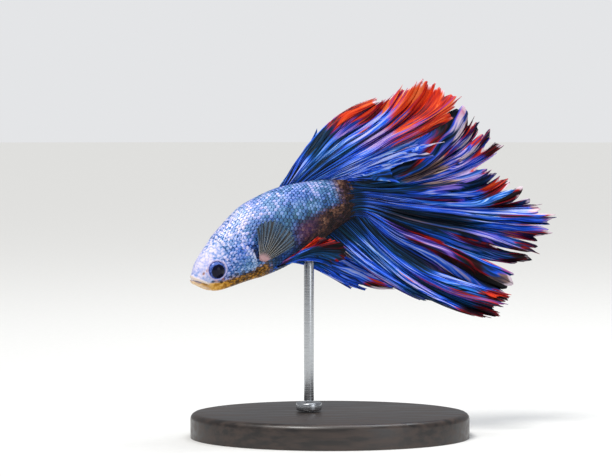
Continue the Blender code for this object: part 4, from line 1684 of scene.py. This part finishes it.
# ---------------------------------------------------------------- finishes
@dataclass(frozen=True)
class CoatColours:
    """The colours of the skin and the scales, each row from shadow to sheen."""

    blue: Stops = shades(
        0, "04070f", 0.20, "0f1f4c", 0.38, "2a54a2", 0.54, "5480be", 0.68, "8ea8e0", 0.82, "bcc0ec",
        1, "e6dff2",
    )
    copper: Stops = shades(
        0, "040303", 0.28, "1a100d", 0.52, "3c2622", 0.76, "74503e", 1, "b48f74",
    )
    gold: Stops = shades(
        0, "20120a", 0.34, "6a4818", 0.58, "c08626", 0.84, "ecbc64", 1, "f6e4bc",
    )
    lilac: Colour = hex_colour("8c7cd4")
    teal_shadow: Colour = hex_colour("06202e")
    teal_sheen: Colour = hex_colour("8cd2f4")
    # Dark freckles, also used for the painted shade in the mouth's crease.
    freckle_and_mouth_shade: Colour = hex_colour("121c2c")
    ginger: Colour = hex_colour("a8622c")
    plum: Colour = hex_colour("4c2c66")
    azure: Colour = hex_colour("2462d8")
    lips: Colour = hex_colour("ead9c8")
    ring: Colour = hex_colour("c8bce0")
    blotch_scale: float = 420.0
    fleck_scale: float = 2300.0
    bead_scale: float = 1750.0
    hue_scale: float = 240.0

    def group(self) -> Group:
        """The markings that skin and scales share, with painted light and painted shade among them.

        Returns:
            The group.
        """
        masks = (
            "pale_head_and_top_light", "shade", "mottle", "copper", "plum", "azure", "dusk", "gold", "lips", "ring",
            "gill", "rust", "freckle_and_mouth_shade", "ginger", "teal", "tone", "edge",
        )
        group = Group(
            "coat_markings", {**dict.fromkeys(masks, "Float"), "Place": "Vector"},
            {"Colour": "Color", "Fleck": "Float"},
        )
        mask = {name: group.inlet[name] for name in masks}
        place = group.inlet["Place"]
        blotch = group.step(group.noise(place, self.blotch_scale, 3), 0.34, 0.66)
        fleck = group.step(group.noise(place, self.fleck_scale, 2), 0.30, 0.70)
        beads = group.node("TexVoronoi", Vector=place, Scale=self.bead_scale).outputs["Distance"]
        beads = group.step(beads, 0.74, 0.30)
        # Painted highlight on the back and pale head, painted shade on the lower flank and under the
        # pectoral fan, and a pale band with painted shade in the gill slit.
        value = group.weighted(0.19, (
            (blotch, 0.16), (mask["tone"], 0.28), (fleck, 0.12), (mask["pale_head_and_top_light"], 0.35),
            (mask["shade"], -0.22), (mask["gill"], 0.36), (mask["dusk"], -0.16), (mask["edge"], -0.3),
        ))
        patchy = group.weighted(-0.22, ((fleck, 0.16), (beads, 0.30)))
        value = group.plus(value, group.times(mask["mottle"], patchy), clamp=True)
        colour = group.ramp(value, self.blue)

        hue = group.scaled(group.noise(place, self.hue_scale, 2), 0.8, group.times(mask["tone"], 0.4))
        lit = group.weighted(0.44, ((mask["pale_head_and_top_light"], -0.14), (mask["mottle"], -0.14)))
        share = group.times(group.step(hue, 0.62, 0.78), lit)
        colour = group.mix(share, colour, self.lilac, "SOFT_LIGHT")
        share = group.scaled(group.step(hue, 0.58, 0.42), lit, mask["teal"], clamp=True)
        teal = group.mix(group.math("POWER", value, 1.6), self.teal_shadow, self.teal_sheen)
        colour = group.mix(share, colour, teal)

        share = group.times(mask["copper"], group.scaled(blotch, 0.3, 0.9), clamp=True)
        warm = group.weighted(0.04, ((value, 1.35), (mask["edge"], 0.4)))
        warm = group.scaled(fleck, 0.12, warm, clamp=True)
        colour = group.mix(share, colour, group.ramp(warm, self.copper))
        colour = group.mix(group.times(mask["plum"], 0.55), colour, self.plum)
        share = group.times(mask["azure"], group.scaled(fleck, 0.8, 0.1))
        colour = group.mix(share, colour, self.azure)

        speckle = group.scaled(mask["rust"], 0.20, 0.14)
        bright = group.weighted(0.56, ((mask["rust"], -0.46), (blotch, 0.16)))
        bright = group.scaled(beads, speckle, bright, clamp=True)
        colour = group.mix(mask["gold"], colour, group.ramp(bright, self.gold))
        for name, strength, spot in (
            ("lips", 1.0, self.lips), ("ginger", 0.75, self.ginger),
            ("freckle_and_mouth_shade", 0.85, self.freckle_and_mouth_shade), ("ring", 0.85, self.ring),
        ):
            colour = group.mix(group.times(mask[name], strength), colour, spot)
        group.give(Colour=colour, Fleck=fleck)
        return group

    def surface(self, name: str, group: Group, scaly: bool) -> Material:
        """The skin's or the scales' material.

        Args:
            name: the material's name.
            group: the shared markings.
            scaly: True for the scales, which have dark edges and more shine.

        Returns:
            The material.
        """
        surface = Surface(name, Coat_Roughness=0.2, Coat_Weight=0.08, Specular_IOR_Level=0.2)
        place = surface.object_place()
        names = [s.name for s in group.tree.interface.items_tree if s.in_out == "INPUT"]
        values = {n: surface.value(n) for n in names if n not in ("Place", "edge")}
        edge = surface.step(surface.value("rim"), 0.62, 1.0) if scaly else 0.0
        marks = surface.use(group, Place=place, edge=edge, **values)
        surface.dress("Base_Color", marks["Colour"])
        surface.dress("Metallic", 0.2 if scaly else 0.0)
        surface.dress("Roughness", surface.scaled(marks["Fleck"], 0.25, 0.3))
        surface.dress("Normal", surface.bumped(marks["Fleck"], 0.4, 0.06))
        return surface.material


@dataclass(frozen=True)
class FinColours:
    """The fins' rows of colour, each from the dark between rays to the sheen on a fold."""

    blue: Stops = shades(
        0, "010206", 0.18, "04101f", 0.36, "0b2a66", 0.54, "164ad8", 0.72, "2a6cf8", 0.88, "6690fa",
        1, "acbcfb",
    )
    red: Stops = shades(
        0, "080103", 0.20, "38060e", 0.40, "860a18", 0.62, "c8280c", 0.84, "de4414", 1, "ea6c38",
    )
    tan: Stops = shades(
        0, "050506", 0.30, "1c1c24", 0.55, "4e4450", 0.80, "a88478", 1, "e0c4b8",
    )
    violet: Stops = shades(
        0, "04020a", 0.28, "180c3a", 0.52, "4c2c92", 0.76, "8c6cce", 1, "d2bcec",
    )
    azure: Stops = shades(
        0, "020a10", 0.26, "0a2c42", 0.52, "10587e", 0.76, "2f8ed8", 1, "b0d8f8",
    )
    pale: Colour = hex_colour("e0d0dc")

    def group(self) -> Group:
        """Streaks along the rays, painted light and shade on the pleats, and the fins' marks.

        Returns:
            The group.
        """
        marks = [tint.value for tint in Tint]
        group = Group(
            "fin_streaks",
            dict.fromkeys(
                ("across", "along", "ray", "fold", *marks, "Streaks", "Bias", "Heat"), "Float"
            ),
            {"Colour": "Color", "Roughness": "Float", "Height": "Float"},
        )
        get = group.inlet
        along = get["along"]
        place = group.lattice(group.times(get["across"], 0.7), group.times(along, 3))
        astray = group.scaled(group.noise(place, 1.0, 1), 0.7, get["across"])
        wide = group.times(astray, get["Streaks"])
        place = group.lattice(group.times(wide, 4.6), group.times(along, 1.7))
        fine = group.step(group.noise(place, 1.5, 3), 0.36, 0.64)
        place = group.lattice(wide, group.times(along, 1.2), 5.0)
        broad = group.step(group.noise(place, 1.4, 2), 0.34, 0.66)
        value = group.scaled(fine, 0.58, group.times(broad, 0.24))
        # Painted light and shade on the pleats: crests lighter, valleys darker.
        value = group.weighted(value, ((get["fold"], 0.16), (get["ray"], 0.22)))
        crisp = group.times(group.step(along, 0.4, 0.05), group.scaled(fine, 0.5, -0.34))
        value = group.plus(group.plus(value, crisp), get["Bias"], clamp=True)
        # Painted sheen: lightens the streaks where it lies, less on red.
        sheen = group.times(group.scaled(fine, 0.26, 0.16), group.scaled(get["red"], -0.7, 1.0))
        value = group.scaled(get["painted_sheen"], sheen, value)
        # Darkens where the dark marks lie, pigment and painted shade alike.
        depth = group.times(get["dark"], group.scaled(get["ray"], -0.3, 1.0))
        value = group.times(value, group.scaled(depth, -0.66, 1.0), clamp=True)

        place = group.lattice(group.times(astray, 0.9), group.times(along, 1.8), 9.0)
        hue = group.step(group.noise(place, 1.0, 2), 0.46, 0.66)
        teal = group.scaled(get["dark"], 0.7, group.times(hue, 0.55), clamp=True)
        cool = group.mix(teal, group.ramp(value, self.blue), group.ramp(value, self.azure))
        heat = group.plus(value, get["Heat"])
        hot = group.ramp(group.scaled(get["orange"], 0.30, heat, clamp=True), self.red)
        torn = group.scaled(fine, 0.6, -0.3)
        violet, tan = group.ramp(value, self.violet), group.ramp(value, self.tan)
        warm = group.math("MAXIMUM", get["red"], get["orange"])
        colour = cool
        for cover, low, high, over in (
            (get["violet"], 0.2, 0.8, violet), (warm, 0.25, 0.75, hot),
            (get["tan"], 0.3, 0.7, tan), (get["pale"], 0.3, 0.8, self.pale),
        ):
            colour = group.mix(group.step(group.plus(cover, torn), low, high), colour, over)
        group.give(Colour=colour, Roughness=group.scaled(fine, 0.25, 0.34), Height=fine)
        return group

    def surface(
        self, name: str, group: Group, streaks: float = 1.6, bias: float = 0.0, heat: float = 0.0
    ) -> Material:
        """A fin's material.

        Args:
            name: the material's name.
            group: the shared streaks.
            streaks: broad streaks between two guide rays.
            bias: how much lighter than usual the streaks are.
            heat: how much nearer to orange than usual the reds are.

        Returns:
            The material.
        """
        surface = Surface(name, Specular_IOR_Level=0.12)
        read = ("across", "along", "ray", "fold", *(tint.value for tint in Tint))
        values = {name: surface.value(name) for name in read}
        marks = surface.use(group, Streaks=streaks, Bias=bias, Heat=heat, **values)
        surface.dress("Base_Color", marks["Colour"])
        surface.dress("Roughness", marks["Roughness"])
        surface.dress("Normal", surface.bumped(marks["Height"], 0.5, 0.06))
        return surface.material


@dataclass(frozen=True)
class PectoralMembrane:
    """A smoky clear membrane with pale rays and a pink stem."""

    clear: Colour = hex_colour("1e4668")
    smoky: Colour = hex_colour("05080c")
    ray_root: Colour = hex_colour("f0e8d8")
    ray_tip: Colour = hex_colour("4a7090")
    stem: Colour = hex_colour("c9a0a4")
    least_alpha: float = 0.4
    most_alpha: float = 0.98

    def surface(self) -> Material:
        """Makes the material.

        Returns:
            The material.
        """
        surface = Surface("pectoral_membrane", Roughness=0.3, Coat_Weight=0.2)
        ray, along = surface.value("ray"), surface.value("along")
        grain = surface.noise(surface.lattice(surface.value("across"), along), 1.6, 1)
        smoke = surface.step(grain, 0.68, 0.46)
        web = surface.mix(smoke, self.clear, self.smoky)
        rays = surface.mix(surface.step(along, 0.1, 0.8), self.ray_root, self.ray_tip)
        stem = surface.step(along, 0.24, 0.10)
        colour = surface.mix(surface.step(ray, 0.35, 0.9), web, rays)
        surface.dress("Base_Color", surface.mix(stem, colour, self.stem))
        solid = surface.math("MAXIMUM", surface.step(ray, 0.3, 0.9), stem)
        solid = surface.math("MAXIMUM", solid, surface.times(smoke, 0.8))
        spread = self.most_alpha - self.least_alpha
        surface.dress("Alpha", surface.scaled(solid, spread, self.least_alpha))
        return surface.material


@dataclass(frozen=True)
class WetEye:
    """A black pupil in a dark blue iris with a paler rim."""

    pupil: Colour = hex_colour("050821")
    iris_dark: Colour = hex_colour("1c3478")
    iris_light: Colour = hex_colour("5c78c8")
    rim: Colour = hex_colour("c4b4d6")
    grain_scale: float = 2600.0

    def surface(self) -> Material:
        """Makes the material.

        Returns:
            The material.
        """
        surface = Surface(
            "wet_eye", Roughness=0.22, Coat_Weight=0.08, Coat_Roughness=0.05, Specular_IOR_Level=0.15
        )
        grain = surface.step(surface.noise(surface.object_place(), self.grain_scale, 2), 0.35, 0.65)
        iris = surface.mix(grain, self.iris_dark, self.iris_light)
        colour = surface.mix(surface.step(surface.value("pupil"), 0.68, 0.77), self.pupil, iris)
        edge = surface.step(surface.value("rim"), 0.90, 0.96)
        surface.dress("Base_Color", surface.mix(edge, colour, self.rim))
        return surface.material


def grain_group() -> Group:
    """Fine drawn-out grain for wood and steel.

    Returns:
        The group.
    """
    group = Group(
        "drawn_grain", {"Place": "Vector", "Scale": "Float"}, {"Grain": "Float", "Height": "Float"}
    )
    noise = group.node("TexNoise", Vector=group.inlet["Place"], Scale=group.inlet["Scale"], Detail=5.0)
    grain = group.step(noise.outputs["Fac"], 0.32, 0.68)
    group.give(Grain=grain, Height=grain)
    return group


@dataclass(frozen=True)
class Grained:
    """Wood or metal with drawn-out grain between two close colours."""

    name: str
    dark: Colour
    light: Colour
    stretch: Triple
    scale: float
    roughness: tuple[float, float]
    relief: tuple[float, float]
    metallic: float = 0.0
    coat: float = 0.0

    def surface(self, grain: Group) -> Material:
        """Makes the material.

        Args:
            grain: the shared grain.

        Returns:
            The material.
        """
        surface = Surface(
            self.name, Metallic=self.metallic, Coat_Weight=self.coat, Coat_Roughness=0.25
        )
        drawn = surface.node("Mapping", Vector=surface.object_place())
        drawn.inputs["Scale"].default_value = self.stretch
        marks = surface.use(grain, Place=drawn.outputs[0], Scale=self.scale)
        smoothest, spread = self.roughness
        surface.dress("Base_Color", surface.mix(marks["Grain"], self.dark, self.light))
        surface.dress("Roughness", surface.scaled(marks["Grain"], spread, smoothest))
        surface.dress("Normal", surface.bumped(marks["Height"], *self.relief))
        return surface.material


STAINED_WOOD = Grained(
    "stained_wood", hex_colour("1d1816"), hex_colour("3a2e28"), (0.12, 1.0, 1.0), 900.0,
    roughness=(0.34, 0.2), relief=(0.25, 0.05), coat=0.3,
)
SATIN_STEEL = Grained(
    "satin_steel", hex_colour("a9acb0"), hex_colour("c4c7ca"), (0.1, 0.1, 2.0), 2500.0,
    roughness=(0.2, 0.14), relief=(0.1, 0.02), metallic=1.0,
)


@dataclass(frozen=True)
class PaleCard:
    """Matt card with a faint tooth."""

    dark: Colour = hex_colour("e4e4e2")
    light: Colour = hex_colour("ececea")
    tooth_scale: float = 600.0

    def surface(self) -> Material:
        """Makes the material.

        Returns:
            The material.
        """
        card = Surface("pale_card", Roughness=0.85)
        tooth = card.noise(card.object_place(), self.tooth_scale, 3)
        card.dress("Base_Color", card.mix(tooth, self.dark, self.light))
        return card.material


# ---------------------------------------------------------------- the stand and the studio
@dataclass(frozen=True)
class Turning:
    """An oval bar: its node, facets, rim radius and rim segments, its slot, and extra height."""

    node: str
    sides: int
    bevel: float
    steps: int
    slot: str
    extra: float = 0.0


@dataclass
class Stand:
    """The oval wooden base, with the steel rod and its collar."""

    base: Turning = Turning("stand_base", 128, 1.2, 4, "base")
    collar: Turning = Turning("stand_collar", 48, 0.3, 3, "rod")
    rod: Turning = Turning("stand_rod", 48, 0.12, 3, "rod", extra=0.6)

    def build(self, wood: Material, steel: Material) -> None:
        """Makes smoother pieces in place of the stand's solids.

        Args:
            wood: the base's finish.
            steel: the finish of the rod and its collar.
        """
        for turning, material in ((self.base, wood), (self.collar, steel), (self.rod, steel)):
            self.turned(turning, material)

    def turned(self, turning: Turning, material: Material) -> Object:
        """An oval bar with soft rims that fills its solid's box.

        Args:
            turning: its node and sizes.
            material: its finish.

        Returns:
            The piece.
        """
        node = turning.node
        low, high = (np.array(corner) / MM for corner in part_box(node))
        high[2] += turning.extra
        bm = bmesh.new()
        bmesh.ops.create_cone(
            bm, cap_ends=True, segments=turning.sides, radius1=0.5, radius2=0.5, depth=1
        )
        bmesh.ops.scale(bm, vec=Vector(high - low), verts=bm.verts)
        rims = [edge for edge in bm.edges if abs(edge.verts[0].co.z - edge.verts[1].co.z) < 1e-6]
        if node == "stand_base":
            rims = [edge for edge in rims if edge.verts[0].co.z > 0]
        bmesh.ops.bevel(
            bm, geom=rims, offset=turning.bevel, segments=turning.steps, profile=0.5,
            affect="EDGES", material=-1,
        )
        piece = Piece(node + "_finish", bm)
        obj = piece.place(piece.points + (low + high) / 2, material)
        obj.data.set_sharp_from_angle(angle=math.radians(40))
        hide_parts(node)
        return obj


@dataclass(frozen=True)
class Lamp:
    """A soft round lamp: its place and width in mm, its power in watts and its colour."""

    name: str
    place: Triple
    size: float
    power: float
    colour: Colour


@dataclass
class Studio:
    """A pale floor and an even backdrop, soft lamps and the camera."""

    aim: Triple = (-4.8, 0.0, 40.0)
    distance: float = 510.0
    elevation: float = 3.0
    lens: float = 150.0
    floor_radius: float = 4.0
    sun_place: Triple = (-140, -210, 460)
    sun_power: float = 2.3
    sun_spread: float = 22.0
    sun_colour: Colour = (1.0, 0.98, 0.95)
    lamps: tuple[Lamp, ...] = (
        Lamp("top", (120, 60, 460), 280, 1.1, (0.95, 0.97, 1.0)),
        Lamp("fill", (320, -420, 140), 300, 0.4, (0.94, 0.96, 1.0)),
    )
    sky_colour: Colour = (0.92, 0.95, 1.0)
    sky_strength: float = 0.34
    wall_colour: Colour = (0.97, 0.98, 1.0)
    wall_strength: float = 0.80

    def build(self) -> None:
        """Sets the camera, the lamps and the floor."""
        self.camera()
        self.floor()
        self.sun()
        for lamp in self.lamps:
            self.lamp(lamp)
        self.backdrop()
        bpy.context.scene.view_settings.view_transform = "Standard"

    def camera(self) -> None:
        """A long lens, a little above the fish and level with its flank."""
        lens = bpy.data.cameras.new("camera")
        lens.lens = self.lens
        lens.sensor_width = 36
        lens.clip_start = 0.01
        obj = added("camera", lens)
        aim = Vector(self.aim) * MM
        tilt = math.radians(self.elevation)
        looks = Vector((0, math.cos(tilt), -math.sin(tilt)))
        obj.location = aim - looks * self.distance * MM
        obj.rotation_euler = looks.to_track_quat("-Z", "Y").to_euler()
        bpy.context.scene.camera = obj

    def backdrop(self) -> None:
        """Even light from all round, behind which the camera sees a pale wall."""
        world = bpy.data.worlds.new("studio")
        world.use_nodes = True
        graph = Graph(world.node_tree)
        sky = world.node_tree.nodes["Background"]
        graph.feed(sky.inputs["Color"], self.sky_colour)
        graph.feed(sky.inputs["Strength"], self.sky_strength)
        wall = graph.node("Background", Color=self.wall_colour, Strength=self.wall_strength)
        seen = graph.node("LightPath").outputs["Is Camera Ray"]
        both = graph.node("MixShader")
        for socket, value in zip(both.inputs, (seen, sky.outputs[0], wall.outputs[0])):
            graph.feed(socket, value)
        graph.feed(world.node_tree.nodes["World Output"].inputs["Surface"], both.outputs[0])
        bpy.context.scene.world = world

    def sun(self) -> None:
        """A broad, even light that reaches the whole floor alike."""
        light = bpy.data.lights.new("key", "SUN")
        light.energy = self.sun_power
        light.angle = math.radians(self.sun_spread)
        light.color = self.sun_colour
        obj = added("key", light)
        obj.rotation_euler = Vector(self.sun_place).to_track_quat("Z", "Y").to_euler()

    def lamp(self, lamp: Lamp) -> None:
        """Hangs a lamp that faces the fish.

        Args:
            lamp: its place, size and light.
        """
        light = bpy.data.lights.new(lamp.name, "AREA")
        light.shape = "DISK"
        light.size = lamp.size * MM
        light.energy = lamp.power
        light.color = lamp.colour
        obj = added(lamp.name, light)
        obj.location = Vector(lamp.place) * MM
        obj.rotation_euler = (Vector(self.aim) * MM - obj.location).to_track_quat("-Z", "Y").to_euler()

    def floor(self) -> None:
        """A wide round sheet of pale card."""
        bm = bmesh.new()
        bmesh.ops.create_circle(bm, cap_ends=True, segments=96, radius=self.floor_radius)
        mesh = bpy.data.meshes.new("floor")
        bm.to_mesh(mesh)
        bm.free()
        mesh.shade_smooth()
        obj = added("floor", mesh)
        mesh.materials.append(PaleCard().surface())


def main() -> None:
    """Builds the studio, the fish and its stand."""
    logging.basicConfig(level=logging.INFO, format="%(name)s: %(message)s")
    Studio().build()

    coat = CoatColours()
    markings_group = coat.group()
    eyes = (Eye("left"), Eye("right"))
    markings = Markings(eyes)
    Skin(markings).build(coat.surface("skin_coat", markings_group, scaly=False))
    Scales(markings).build(coat.surface("scale_coat", markings_group, scaly=True))
    globe = WetEye().surface()
    for eye in eyes:
        eye.build(globe)

    colours = FinColours()
    streaks = colours.group()
    dorsal_fin().build(colours.surface("dorsal_silk", streaks, bias=0.06))
    tail = caudal_fin()
    silk = colours.surface("caudal_silk", streaks, heat=-0.22)
    tail.build(silk)
    for side in (1, -1):
        TailRoot(tail, side).build(silk)
    anal_fin().build(colours.surface("anal_silk", streaks, 2.4, bias=-0.01, heat=-0.22))
    pelvic = colours.surface("pelvic_silk", streaks, heat=-0.14)
    pelvic_fin(1).build(pelvic)
    pelvic_fin(-1).build(pelvic)
    clear = PectoralMembrane().surface()
    for word in ("left", "right"):
        Pectoral(word).build(clear)

    grain = grain_group()
    Stand().build(STAINED_WOOD.surface(grain), SATIN_STEEL.surface(grain))


if __name__ == "__main__":
    main()
